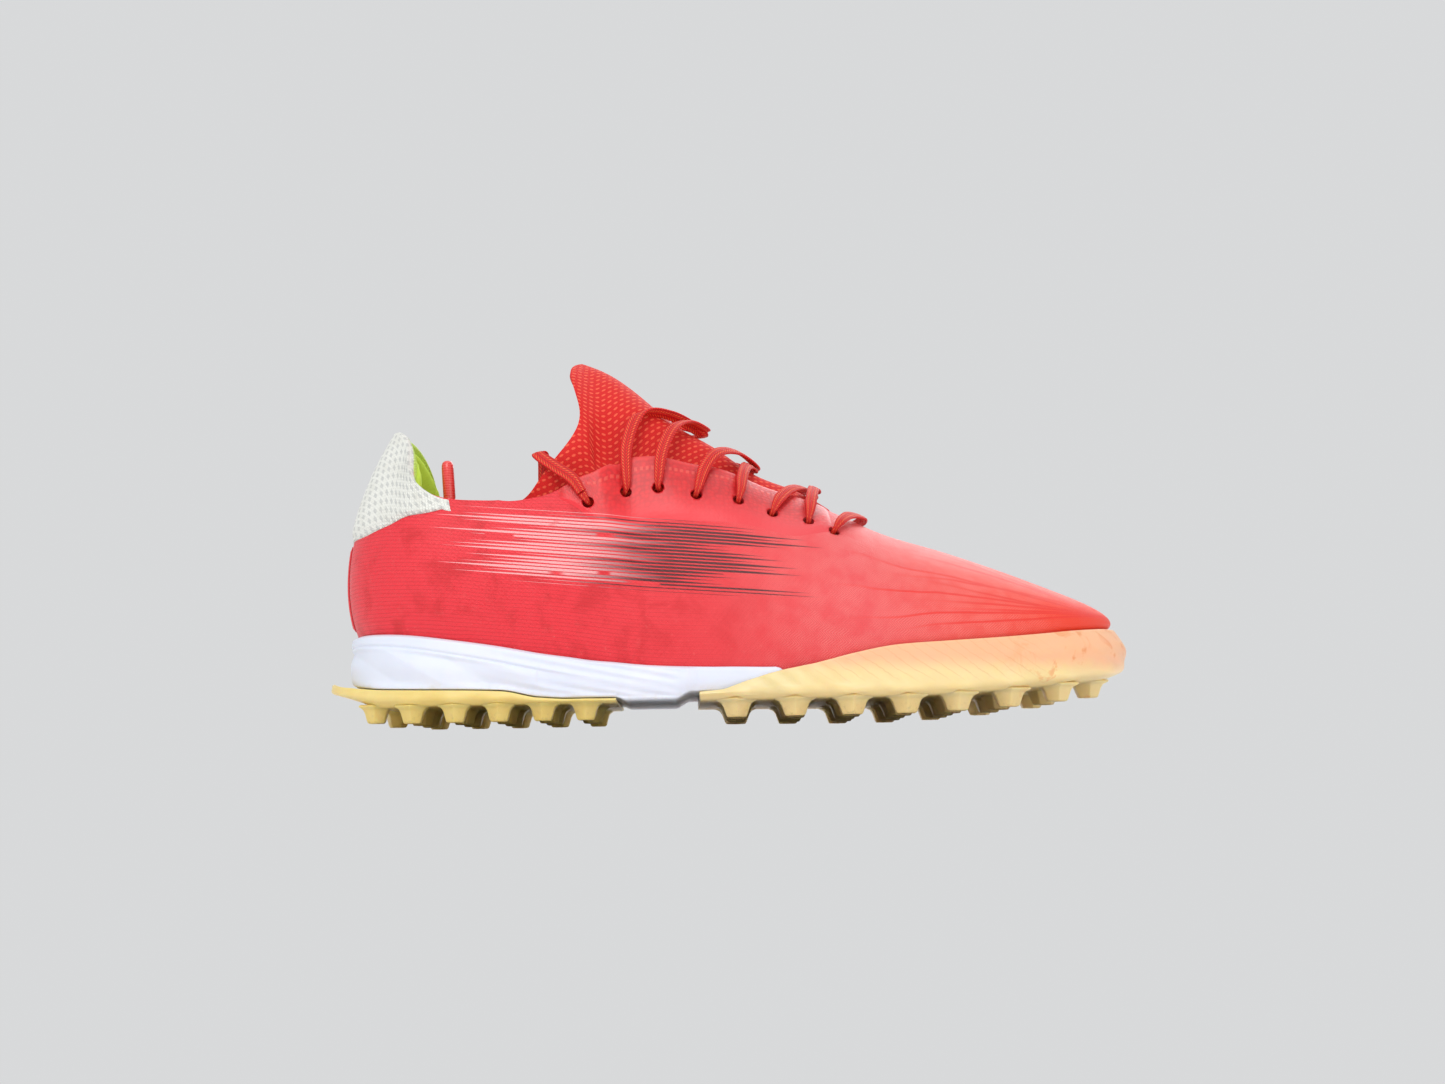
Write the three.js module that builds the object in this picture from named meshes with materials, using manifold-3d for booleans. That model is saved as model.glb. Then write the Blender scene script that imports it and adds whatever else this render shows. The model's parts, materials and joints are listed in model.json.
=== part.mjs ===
// Right-foot turf soccer shoe, laced, standing on its studs.
// Millimetres. +X toe, +Y inner (medial) side, -Y outer (lateral) side, +Z up.
// The ground plane is z = 0 and the footprint box is centred on x = y = 0.
import * as THREE from 'three';
import { mergeVertices } from 'three/addons/utils/BufferGeometryUtils.js';
import Module from 'manifold-3d';

const wasm = await Module();
wasm.setup();

// ---------------------------------------------------------------- dimensions
const GAP = 0.35;                 // clearance between touching pieces
const STUD_H = 5.6;               // turf stud height
const PLATE_T = 2.6;              // rubber plate thickness, forefoot
const HEEL_PLATE_T = 4.8;         // rubber plate thickness, heel
const SHELL_T = 1.8;              // knitted upper with its film
const TAPE_T = 0.8;               // heat-bonded overlays
const COUNTER_T = 1.5;            // heel counter board
const PUFF_T = 0.9;               // toe puff
const LINING_T = 0.9;             // collar lining
const TONGUE_T = 1.8;             // knitted tongue
const TONGUE_DEPTH = 4.7;         // tongue below the outer surface where it is laced
const LACE_W = 4.2, LACE_T = 1.1; // flat lace
const EYELET_R = 3.5;             // punched lace hole radius
const AGLET_R = 2.2, AGLET_L = 20;
const WALL_IN = 0.45;             // cup wall inner face outside the upper
const WALL_OUT = 3.0;             // cup wall outer face outside the upper
const CENTRE = [0.6, 1.35, 0.0];   // shift that centres the footprint box

// ---------------------------------------------------------------- last shape
// Stations run from the heel centre (0) to the toe centre (25). Each holds the
// feather point, two control points and the top point of one bent section.
const LAT = [
  [[-134, 0, 31], [-143, 0, 54], [-134, 0, 85], [-121, 0, 106]],
  [[-129, -17, 31], [-138, -20, 52], [-128, -16, 84], [-118, -9.5, 105]],
  [[-120, -27, 30.5], [-126, -32, 50], [-118, -27, 78], [-113.5, -18.5, 97]],
  [[-109, -32, 29.5], [-112, -38, 48], [-110, -34, 70], [-111, -26.5, 85.5]],
  [[-95, -34.5, 27.5], [-97, -40, 45], [-97, -37, 62], [-101, -31, 77.8]],
  [[-79, -35.5, 25], [-80, -40.5, 43], [-84, -38, 60], [-87, -32.5, 76]],
  [[-66, -36, 22.5], [-66, -41, 43], [-72, -38, 62], [-74, -32.3, 77.5]],
  [[-56, -36, 21], [-55, -41, 44], [-61, -37, 68], [-63.5, -31, 87.5]],
  [[-48, -36.5, 19.7], [-46, -41.5, 45], [-51, -36, 78], [-55, -28.5, 99]],
  [[-41, -36.8, 19], [-39, -42, 47], [-46, -35, 92], [-53, -24, 110.5]],
  [[-35, -37, 18.3], [-32, -42, 50], [-46, -32, 107], [-57, -14, 125]],
  [[-29, -37.3, 17.7], [-26, -42.5, 52], [-46, -25, 122], [-54, 0, 132]],
  [[-23, -37.8, 17.3], [-20, -43, 54], [-40, -25, 122], [-43, 0, 127]],
  [[-15, -38.8, 16.9], [-12, -44, 54], [-30, -27, 115.5], [-31, 0, 117.5]],
  [[-6, -40, 16.6], [-4, -45, 52], [-18, -28, 106], [-19, 0.3, 107]],
  [[4, -42, 16.3], [5, -47, 48], [-5, -28, 98.3], [-6, 0.8, 99.3]],
  [[15, -44, 16], [15, -49, 44], [9, -28, 88], [8, 1.5, 89.5]],
  [[27, -45.8, 17.2], [27, -51, 40], [23, -29, 82], [22, 2.3, 83.8]],
  [[40, -46.8, 20.3], [40, -52, 38], [36, -30, 75], [35, 3.2, 77]],
  [[54, -46.5, 22.8], [55, -51.5, 37], [50, -29, 67.2], [48, 4.2, 69.8]],
  [[70, -43.5, 24], [72, -48, 36], [64, -27, 62], [60, 5.2, 65.2]],
  [[86, -38.5, 25.2], [89, -43, 35.5], [77, -23.5, 58.3], [70, 6, 62.3]],
  [[102, -31, 26.8], [106, -35, 35.5], [91, -18, 54.3], [78, 6.8, 59.6]],
  [[118, -20.5, 28.8], [123.5, -23, 36], [104, -10, 50], [84, 7.4, 57.4]],
  [[130.5, -6.5, 30.3], [138, -7, 36.6], [112.5, 0, 46.6], [88, 7.8, 56]],
  [[136, 8, 31], [144, 8, 36.5], [115, 8, 46], [89.5, 8, 55.4]],
];
const MED = [null,
  [[-129, 17, 31], [-138, 20, 52], [-128, 16, 84]],
  [[-120, 26.8, 30.5], [-126, 32, 50], [-118, 27, 78]],
  [[-109, 31.3, 29.5], [-112, 37, 48], [-110, 33.5, 71]],
  [[-95, 32.8, 27.5], [-97, 38, 45], [-97, 36, 63]],
  [[-79, 32.3, 25], [-80, 38, 43], [-84, 36, 60]],
  [[-67, 31.3, 23.2], [-66, 37.5, 44], [-72, 36, 62]],
  [[-58, 30.4, 22], [-55, 37, 46], [-61, 35.5, 68]],
  [[-50, 29.6, 21], [-46, 37, 48], [-51, 35, 78]],
  [[-43, 29, 20.3], [-39, 37, 51], [-46, 34, 92]],
  [[-37, 28.6, 19.7], [-32, 37, 55], [-46, 31, 107]],
  [[-31, 28.4, 19.2], [-26, 37, 58], [-46, 25, 122]],
  [[-25, 28.4, 18.7], [-20, 37, 60], [-40, 25, 122]],
  [[-17, 28.6, 18.2], [-12, 37, 60], [-30, 27, 115.5]],
  [[-8, 29.3, 17.8], [-4, 37, 58], [-18, 29, 106.5]],
  [[2, 31, 17.5], [5, 37.5, 53], [-5, 30, 99]],
  [[13, 33.5, 17.5], [15, 39, 48], [9, 31, 90]],
  [[26, 37, 18.2], [27, 41.5, 43], [23, 32.5, 83.5]],
  [[40, 40.5, 20.3], [40.5, 45, 40], [36, 34, 76.5]],
  [[55, 43, 22.5], [56, 47, 38], [50, 36, 68.5]],
  [[72, 44, 24], [73.5, 48, 36.5], [64, 37, 63]],
  [[89, 42.7, 25.2], [91.5, 46.5, 35.5], [77, 35, 58.8]],
  [[106, 38.5, 27], [109.5, 42, 35.5], [91, 31, 54.5]],
  [[121, 31.5, 28.8], [126, 34.5, 36], [104, 24, 50]],
  [[131.5, 21, 30.3], [138.5, 22.5, 36.6], [112, 15.5, 46.6]],
];
const NK = 25, LOOP = 2 * NK;
const v3 = (a) => new THREE.Vector3(a[0], a[1], a[2]);
const rails = [0, 1, 2].map((c) => {
  const pts = [];
  for (let k = 0; k <= NK; k++) pts.push(v3(LAT[k][c]));
  for (let k = NK - 1; k >= 1; k--) pts.push(v3(MED[k][c]));
  return new THREE.CatmullRomCurve3(pts, true, 'catmullrom', 0.5);
});
const TIP = 11;                   // station whose top point is the tongue tip
const edgePts = [];
for (let k = TIP; k >= 1; k--) edgePts.push(new THREE.Vector3(LAT[k][3][0], -LAT[k][3][1], LAT[k][3][2]));
for (let k = 0; k <= TIP; k++) edgePts.push(v3(LAT[k][3]));
const edgeCurve = new THREE.CatmullRomCurve3(edgePts, false, 'catmullrom', 0.5);
const ridgeCurve = new THREE.CatmullRomCurve3(LAT.slice(TIP).map((s) => v3(s[3])), false, 'catmullrom', 0.5);

const clamp = (x, a, b) => Math.min(b, Math.max(a, x));
const smooth = (x) => { const t = clamp(x, 0, 1); return t * t * (3 - 2 * t); };
const lerp = (a, b, t) => a + (b - a) * t;
// linear table lookup
const table = (rows) => (k) => {
  if (k <= rows[0][0]) return rows[0][1];
  for (let i = 1; i < rows.length; i++) {
    if (k <= rows[i][0]) return lerp(rows[i - 1][1], rows[i][1], (k - rows[i - 1][0]) / (rows[i][0] - rows[i - 1][0]));
  }
  return rows[rows.length - 1][1];
};
// loop index i runs heel -> outer side -> toe -> inner side
const railAt = (c, i) => rails[c].getPoint((((i % LOOP) + LOOP) % LOOP) / LOOP);
function topAt(i) {
  const j = ((i % LOOP) + LOOP) % LOOP;
  const lateral = j <= NK;
  const k = lateral ? j : LOOP - j;
  if (k <= TIP) return edgeCurve.getPoint((TIP + (lateral ? k : -k)) / (2 * TIP));
  return ridgeCurve.getPoint((k - TIP) / (NK - TIP));
}
const outlineNormal = (i) => {    // outward direction in plan at the feather line
  const d = railAt(0, i + 0.2).sub(railAt(0, i - 0.2));
  return new THREE.Vector3(d.y, -d.x, 0).normalize();
};
const kOf = (i) => { const j = ((i % LOOP) + LOOP) % LOOP; return j <= NK ? j : LOOP - j; };
// top of the midsole under the foot
const footbed = table([[0, 24], [3, 22.5], [6, 18.5], [9, 15.2], [13, 12.6], [17, 11.6], [19, 12], [21, 14], [23, 17], [25, 20]]);
function rawPoint(i, v) {
  const B = railAt(0, i);
  if (v < 0) {                    // the part turned down inside the sole cup
    const low = B.clone().addScaledVector(outlineNormal(i), -0.6);
    low.z = footbed(kOf(i)) + GAP;
    return B.lerp(low, -v);
  }
  const P1 = railAt(1, i), P2 = railAt(2, i), T = topAt(i);
  const u = 1 - v;
  return B.multiplyScalar(u * u * u).addScaledVector(P1, 3 * u * u * v)
    .addScaledVector(P2, 3 * u * v * v).addScaledVector(T, v * v * v);
}
function normalAt(i, v) {
  const e = 0.05, f = 0.01;
  const vv = clamp(v, 0.02, 0.985);
  let ia = i - e, ib = i + e;
  const k = kOf(i);
  if (v > 0.6 && k >= NK - 0.5) { ia = i - 0.6; ib = i + 0.6; }
  const du = rawPoint(ib, vv).sub(rawPoint(ia, vv));
  const dv = rawPoint(i, vv + f).sub(rawPoint(i, vv - f));
  if (v > 0.97 && k > TIP + 0.3) {   // on the ridge both sides share one normal
    const t = ridgeCurve.getTangent(clamp((k - TIP) / (NK - TIP), 0.01, 0.99));
    return new THREE.Vector3(-t.z, 0, t.x).multiplyScalar(Math.sign(t.x)).normalize();
  }
  if (v < 0.0) return outlineNormal(i);
  return du.cross(dv).normalize();
}
const surf = (i, v, off = 0) => rawPoint(i, v).addScaledVector(normalAt(i, v), off);
const li = (k) => k;              // loop index on the outer side
const mi = (k) => LOOP - k;       // loop index on the inner side

// height fraction of the throat edge at each station
const throatV = table([[5.5, 1], [6, 0.96], [7, 0.84], [8, 0.77], [9, 0.67], [10, 0.59], [11, 0.54], [12, 0.555],
  [13, 0.59], [14, 0.64], [15, 0.70], [16, 0.765], [17, 0.785], [18, 0.82], [18.5, 0.885], [19, 1]]);

// ---------------------------------------------------------------- solids
function geometryOf(verts, tris) {
  const g = new THREE.BufferGeometry();
  g.setAttribute('position', new THREE.Float32BufferAttribute(verts.flatMap((p) => [p.x, p.y, p.z]), 3));
  g.setIndex(tris.flat());
  return g;
}
// a sheet of stations: cols are loop indices, rows v from lo(k) to hi(k)
function sheet(sides, rows) {
  const keys = new Map(), params = [], tris = [];
  const vid = (i, v) => {
    const p = rawPoint(i, v);
    const key = [p.x, p.y, p.z].map((c) => Math.round(c * 50)).join();
    if (!keys.has(key)) { keys.set(key, params.length); params.push([i, v]); }
    return keys.get(key);
  };
  for (const cols of sides) {
    const ids = cols.map(([i, lo, hi]) => {
      const col = [];
      if (Array.isArray(lo)) return lo.map((v) => vid(i, v));
      for (let r = 0; r <= rows; r++) {
        const f = r / rows;
        let v;
        if (lo < 0) v = r === 0 ? lo : lerp(0, hi, (r - 1) / (rows - 1));
        else v = lerp(lo, hi, f);
        col.push(vid(i, v));
      }
      return col;
    });
    for (let c = 0; c + 1 < ids.length; c++) {
      for (let r = 0; r + 1 < ids[c].length; r++) {
        const a = ids[c][r], b = ids[c + 1][r], d = ids[c + 1][r + 1], e = ids[c][r + 1];
        if (a !== b && b !== d && a !== d) tris.push([a, b, d]);
        if (a !== d && d !== e && a !== e) tris.push([a, d, e]);
      }
    }
  }
  return { params, tris };
}
function thicken({ params, tris }, outer, inner) {
  const n = params.length;
  const verts = params.map(([i, v]) => surf(i, v, outer(i, v))).concat(params.map(([i, v]) => surf(i, v, inner(i, v))));
  const all = tris.map((t) => [...t]);
  for (const [a, b, c] of tris) all.push([a + n, c + n, b + n]);
  const edges = new Map();
  for (const t of tris) for (let j = 0; j < 3; j++) edges.set(t[j] + '_' + t[(j + 1) % 3], [t[j], t[(j + 1) % 3]]);
  for (const [, [a, b]] of edges) {
    if (!edges.has(b + '_' + a)) { all.push([b, a, a + n]); all.push([b, a + n, b + n]); }
  }
  return geometryOf(verts, all);
}
const range = (a, b, n) => Array.from({ length: n + 1 }, (_, j) => lerp(a, b, j / n));
function solidOf(geometry) {
  let g = geometry.clone();
  g.deleteAttribute('normal'); g.deleteAttribute('uv');
  g = mergeVertices(g, 1e-4);
  return new wasm.Manifold(new wasm.Mesh({ numProp: 3,
    vertProperties: new Float32Array(g.attributes.position.array), triVerts: new Uint32Array(g.index.array) }));
}
function backToGeometry(solid) {
  const m = solid.getMesh();
  const g = new THREE.BufferGeometry();
  g.setAttribute('position', new THREE.BufferAttribute(new Float32Array(m.vertProperties), 3));
  g.setIndex(new THREE.BufferAttribute(new Uint32Array(m.triVerts), 1));
  return g;
}
const constant = (x) => () => x;

// ---------------------------------------------------------------- sole pieces
// Solid whose every station is a closed profile from the bottom centre line to
// the top centre line; each profile row gives plan offset and height.
function soleSolid(ks, profile, tipInset = 2.5) {
  const verts = [], keys = new Map(), tris = [];
  const vid = (p) => {
    const key = [p.x, p.y, p.z].map((c) => Math.round(c * 40)).join();
    if (!keys.has(key)) { keys.set(key, verts.length); verts.push(p); }
    return keys.get(key);
  };
  const edge = (i, off, z) => { const p = railAt(0, i).addScaledVector(outlineNormal(i), off); p.z = z; return p; };
  const columns = (toLoop) => ks.map((k) => {
    const rowsK = profile(k);
    return rowsK.map(([off, z], r) => {
      if (off === 'c') {
        const a = railAt(0, li(k)), b = railAt(0, mi(k));
        const p = a.add(b).multiplyScalar(0.5);
        if (k === 0) p.x += tipInset;
        if (k === NK) p.x -= tipInset;
        p.z = z;
        return vid(p);
      }
      return vid(edge(toLoop(k), off, z));
    });
  });
  const L = columns(li), M = columns(mi);
  const push = (a, b, c) => { if (a !== b && b !== c && a !== c) tris.push([a, b, c]); };
  for (let c = 0; c + 1 < ks.length; c++) {
    for (let r = 0; r + 1 < L[c].length; r++) {
      push(L[c][r], L[c + 1][r], L[c + 1][r + 1]); push(L[c][r], L[c + 1][r + 1], L[c][r + 1]);
      push(M[c + 1][r], M[c][r], M[c][r + 1]); push(M[c + 1][r], M[c][r + 1], M[c + 1][r + 1]);
    }
  }
  const cap = (c, flip) => {
    for (let r = 0; r + 1 < L[c].length; r++) {
      const q = [L[c][r], L[c][r + 1], M[c][r + 1], M[c][r]];
      if (flip) { push(q[0], q[2], q[1]); push(q[0], q[3], q[2]); } else { push(q[0], q[1], q[2]); push(q[0], q[2], q[3]); }
    }
  };
  if (ks[0] > 0) cap(0, false);
  if (ks[ks.length - 1] < NK) cap(ks.length - 1, true);
  return geometryOf(verts, tris);
}
// height of the underside of the rubber plate: flat, then curved up at the toe
const plateX = (x) => STUD_H + (x > 45 ? 0.00095 * (x - 45) ** 2 : 0) + (x < -118 ? 0.016 * (x + 118) ** 2 : 0);
const plateZ = (k) => plateX(railAt(0, k).x);
const wallTop = table([[13, 8.2], [14.2, 9], [15, 11.5], [16, 14.6], [17, 16.9], [18, 20], [19, 22.5], [20, 23.7], [21, 24.9], [22, 26.5], [23, 28.5], [24, 30], [25, 30.7]]);

const parts = [];
const add = (name, geometry, color, roughness, metalness = 0) => parts.push({ name, geometry, color, roughness, metalness });

function studRows(list, plate) {
  let solid = solidOf(plate);
  for (const [x, y, r0, r1, turn] of list) {
    const z = plateX(x);
    const g = new THREE.CylinderGeometry(r1, r0, STUD_H + 0.8, 6, 1);
    g.rotateX(Math.PI / 2);
    g.rotateZ(turn);
    g.translate(x, y, z - STUD_H + (STUD_H + 0.8) / 2);
    const s = solidOf(g);
    solid = solid.add(s);
  }
  return backToGeometry(solid);
}
// forefoot rubber with its toe wrap
const foreKs = [13.4, 14.2, 15, 16, 17, 18, 19, 20, 21, 22, 22.6, 23.2, 23.8, 24.4, 25];
const forePlate = soleSolid(foreKs, (k) => {
  const zp = plateZ(k), top = Math.max(wallTop(k), zp + PLATE_T + 0.2);
  const inn = k < 17 ? 1.9 : WALL_IN;
  const lowIn = inn;
  const bulge = 3.6 * smooth((k - 19.5) / 4.5);
  return [['c', zp], [WALL_OUT - 3.4, zp], [WALL_OUT + bulge * 0.55, zp + 2.2], [WALL_OUT + bulge, lerp(zp, top, 0.62)], [WALL_OUT - 0.6, top], [inn, top], [lowIn, zp + PLATE_T], ['c', zp + PLATE_T]];
});
const foreStuds = [];
const foreRows = [[0.5, 4], [20, 5], [39, 5], [57, 5], [74.5, 5], [93, 4], [111.5, 3], [128, 1]];
for (const [x, n] of foreRows) {
  let k = 13; while (k < NK && railAt(0, k).x < x) k += 0.1;
  let km = 13; while (km < NK && railAt(0, LOOP - km).x < x) km += 0.1;
  const yl = railAt(0, k).y + 6.2, ym = railAt(0, LOOP - km).y - 6.2;
  for (let j = 0; j < n; j++) {
    const y = n === 1 ? (yl + ym) / 2 : lerp(yl, ym, j / (n - 1));
    foreStuds.push([x, y, 4.0, 6.0, (j % 2) * Math.PI / 6]);
  }
}
add('outsole_forefoot', studRows(foreStuds, forePlate), 0xe6d08e, 0.55);
// heel rubber
const heelKs = [0, 0.4, 0.8, 1.2, 1.6, 2, 2.5, 3, 4, 5, 6, 7, 8, 9.2];
const heelTop = table([[0, 15.6], [1, 13.2], [2, 11.6], [3, 11], [5, 10], [6, 7.6], [7, 7.0], [9.2, 6.9]]);
const heelPlate = soleSolid(heelKs, (k) => {
  const zp = plateZ(k), t = Math.max(heelTop(k), zp + 1.1);
  const out = WALL_OUT + 6.8 * (1 - smooth(k / 2.2));
  return [['c', k < 3 ? Math.min(zp, 9) : zp], [-0.6, zp], [out, lerp(zp, t, 0.45)], [out - 0.5, t], ['c', k < 3 ? Math.min(t, 11) : t]];
});
const heelStuds = [];
for (const [x, n] of [[-124, 2], [-110, 4], [-95, 4], [-80, 4], [-65, 4], [-50.5, 3]]) {
  let k = 0; while (k < 12 && railAt(0, k).x < x) k += 0.1;
  let km = 0; while (km < 12 && railAt(0, LOOP - km).x < x) km += 0.1;
  const yl = railAt(0, k).y + 4.6, ym = railAt(0, LOOP - km).y - 4.6;
  for (let j = 0; j < n; j++) heelStuds.push([x, lerp(yl, ym, n === 1 ? 0.5 : j / (n - 1)), 3.3, 4.6, (j % 2) * Math.PI / 6]);
}
add('outsole_heel', studRows(heelStuds, heelPlate), 0xe0c86e, 0.55);
// foam midsole: a cup at the heel and waist, a slab under the forefoot
const midBottom = (k) => (k <= 9.2 ? Math.max(heelTop(k), plateZ(k) + 1.1) + GAP : k < 13.2 ? 6.2 : plateZ(k) + PLATE_T + GAP + 0.15);
const midKs = [0, 0.4, 0.8, 1.2, 1.6, 2, 2.5, 3, 4, 5, 6, 7, 8, 9.2, 9.6, 11, 12.6, 13.4, 14.2, 15, 16, 17, 18, 19, 20, 21, 22, 22.6, 23.2, 23.8, 24.4, 25];
add('midsole', soleSolid(midKs, (k) => {
  const zb = k > 12.7 && k < 13.5 ? Math.max(midBottom(k), plateZ(k) + PLATE_T + GAP + 0.15) : midBottom(k);
  const fb = footbed(k);
  const cup = k <= 15.5;
  const under = k > 13;
  const out = under ? (cup ? 1.55 : 0.05) : WALL_OUT - 0.4;
  const top = cup ? railAt(0, k).z + 0.2 : fb;
  const inn = cup ? WALL_IN : 0.0;
  const bulge = under ? 0 : k < 6 ? 1.0 : 0.6;
  return [['c', k < 3 ? Math.min(zb, 12) : zb], [out - 0.6, zb], [out + bulge, zb + (top - zb) * 0.4], [out - 0.3, top - 0.8 * (cup ? 1 : 0.2)], [inn + 0.001, top], [inn, fb], ['c', fb]];
}), 0xe6ebf5, 0.6);

// ---------------------------------------------------------------- foot bed pieces
const insoleKs = [0, 1, 2, 3, 4, 6, 8, 11, 14, 16, 18, 20, 21, 22, 23, 24, 25];
function insole(off, z0, z1) {
  return soleSolid(insoleKs, (k) => {
    const f = footbed(k);
    return [['c', f + z0], [off, f + z0], [off, f + z1], ['c', f + z1]];
  }, -off + 1.5);
}
add('strobel_board', insole(-0.6 - SHELL_T - 0.4, GAP, GAP + 1.2), 0xe8e4da, 0.85);
const linerFoam = insole(-9.4, 2 * GAP + 1.2, 2 * GAP + 4.2);
add('sockliner_foam', linerFoam, 0x303438, 0.9);
add('sockliner_cover', insole(-9.4, 3 * GAP + 4.2, 3 * GAP + 5.0), 0xc8e850, 0.9);

// ---------------------------------------------------------------- upper
// every layer uses the same stations and height steps, so that the layers stay parallel
const BASE_KS = [0, 0.4, 0.8, 1.2, 1.6, 2, 2.5, 3, 4, 5, 6, 7, 8, 9, 10, 11, 12, 13, 14, 15, 16, 17, 18, 19, 20, 21, 22, 22.6, 23.2, 23.8, 24.4, 25];
const between = (a, b) => BASE_KS.filter((k) => k >= a - 1e-6 && k <= b + 1e-6);
const shellKs = BASE_KS;
const shellSides = [shellKs.map((k) => [li(k), -1, k >= 19 ? 1 : throatV(k)]), shellKs.map((k) => [mi(k), -1, k >= 19 ? 1 : throatV(k)]).reverse()];
let shell = solidOf(thicken(sheet(shellSides, 7), constant(0), constant(-SHELL_T)));

// lace holes, given as station and height fraction
const EYELETS = [[8.27, 0.627], [10.9, 0.464], [12.55, 0.476], [13.96, 0.516], [15.31, 0.581], [16.24, 0.606], [17.19, 0.627], [17.88, 0.63]];
const holes = [];
for (const toLoop of [li, mi]) {
  for (const [k, v] of EYELETS) {
    const p = surf(toLoop(k), v, 0), n = normalAt(toLoop(k), v);
    const g = new THREE.CylinderGeometry(EYELET_R, EYELET_R, 12, 6, 1);
    g.rotateY(Math.PI / 6);
    g.applyQuaternion(new THREE.Quaternion().setFromUnitVectors(new THREE.Vector3(0, 1, 0), n));
    g.translate(p.x, p.y, p.z);
    holes.push(solidOf(g));
  }
}
const pierce = (solid) => { let s = solid; for (const h of holes) s = s.subtract(h); return s; };
add('upper_shell', backToGeometry(pierce(shell)), 0xf04f58, 0.6);

// bonded eyestay bands along the throat
const stayKs = between(7, 18);
for (const [name, toLoop] of [['eyestay_lateral', li], ['eyestay_medial', mi]]) {
  const cols = stayKs.map((k) => [toLoop(k), throatV(k) * 3.7 / 6, throatV(k)]);
  if (toLoop === mi) cols.reverse();
  const g = thicken(sheet([cols], 3), constant(GAP + TAPE_T + 0.2), constant(GAP + 0.2));
  add(name, backToGeometry(pierce(solidOf(g))), 0xd01c14, 0.35);
}
// knitted heel tab skin
const tabKs = between(0, 4);
const tabLo = table([[0, 0.45], [1, 0.47], [2, 0.56], [3, 0.72], [4, 0.9]]);
const tabCols = (toLoop) => tabKs.map((k) => [toLoop(k), tabLo(k), 0.985]);
add('heel_tab', thicken(sheet([tabCols(li), tabCols(mi).reverse()], 4), constant(GAP + 1.25), constant(GAP + 0.15)), 0xdededa, 0.85);
// narrow tape over the back seam, below the tab
const tapeCols = [LOOP - 0.35, LOOP, LOOP + 0.35].map((i) => [i, 0.04, 0.43]);
add('heel_seam_tape', thicken(sheet([tapeCols], 4), constant(GAP + 0.95), constant(GAP + 0.1)), 0xd63a40, 0.5);

// inner stiffeners
const counterKs = between(0, 5);
const counterCols = (toLoop) => counterKs.map((k) => [toLoop(k), 0, 0.5]);
add('heel_counter', thicken(sheet([counterCols(li), counterCols(mi).reverse()], 3), constant(-SHELL_T - 0.5), constant(-SHELL_T - 0.5 - COUNTER_T)), 0xd8cdb4, 0.8);
const puffKs = between(22, 25);
const puffCols = (toLoop) => puffKs.map((k) => [toLoop(k), 0, 0.5]);
add('toe_puff', thicken(sheet([puffCols(li), puffCols(mi).reverse()], 3), constant(-SHELL_T - 0.6), constant(-SHELL_T - 0.6 - PUFF_T)), 0xe4ddcc, 0.8);
// collar foam pads, split at the back seam
const foamKs = [0.1, ...between(0.4, 5)];
const foamLo = 3.2 / 6;
const foamDepth = (v, k) => 3.6 * Math.sin(Math.PI * clamp((v - foamLo) / (1 - foamLo), 0.0, 1)) * (k > 4.4 ? 0.6 : 1) + COUNTER_T;
for (const [name, toLoop] of [['collar_foam_lateral', li], ['collar_foam_medial', mi]]) {
  const cols = foamKs.map((k) => [toLoop(k), foamLo, 0.96]);
  if (toLoop === mi) cols.reverse();
  add(name, thicken(sheet([cols], 3), constant(-SHELL_T - 0.5), (i, v) => -SHELL_T - 0.5 - foamDepth(v, kOf(i))), 0xf2efe6, 0.9);
}
// collar lining, over counter and foam
const liningOuter = (i, v) => -SHELL_T - 1.45 - foamDepth(v, kOf(i)) - 0.25 * smooth(v * 6);
const liningCols = (toLoop) => between(0, 5).map((k) => [toLoop(k), 0.5 / 6, 5.92 / 6]);
add('collar_lining', thicken(sheet([liningCols(li), liningCols(mi).reverse()], 6), liningOuter, (i, v) => liningOuter(i, v) - LINING_T), 0xd2fa50, 0.85);

// ---------------------------------------------------------------- tongue
const tongueKs = [6, 7, 8, 9, 10, 11, 12, 13, 14, 15, 16, 17, 18];
const tongueOut = (i, v) => -TONGUE_DEPTH + (TONGUE_DEPTH + 0.2) * smooth((v - throatV(kOf(i)) - 0.02) / 0.17);
const tongueRows = (k) => {
  const t = throatV(k), lo = Math.max(t - 0.3, 0.2);
  if (t > 0.93) return [lo, lerp(lo, t, 0.35), lerp(lo, t, 0.7), t - 0.03, t - 0.02, t - 0.01, 1];
  const a = Math.min(t + 0.09, lerp(t, 1, 0.4)), b = Math.min(t + 0.19, lerp(t, 1, 0.7));
  return [lo, lerp(lo, t, 0.5), t + 0.015, a, b, lerp(b, 1, 0.5), 1];
};
const tongueCols = (toLoop) => tongueKs.map((k) => [toLoop(k), tongueRows(k)]);
const tongue = solidOf(thicken(sheet([tongueCols(li), tongueCols(mi).reverse()], 6), tongueOut, (i, v) => tongueOut(i, v) - TONGUE_T));
// the flex plane runs back and down from the instep ridge
const FLEX = { x: -25, z: 111, slope: 15.5 / 31 };
function halfSpace(above, shift) {
  const g = new THREE.BoxGeometry(200, 120, 100);
  g.translate(0, 0, above ? 50 + shift : -50 - shift);
  g.rotateY(-Math.atan(FLEX.slope));
  g.translate(FLEX.x, 0, FLEX.z);
  return solidOf(g);
}
add('tongue_base', backToGeometry(tongue.intersect(halfSpace(false, 0.25))), 0xe8180c, 0.8);
add('tongue_flap', backToGeometry(tongue.intersect(halfSpace(true, 0.25))), 0xe8180c, 0.8);

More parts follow.
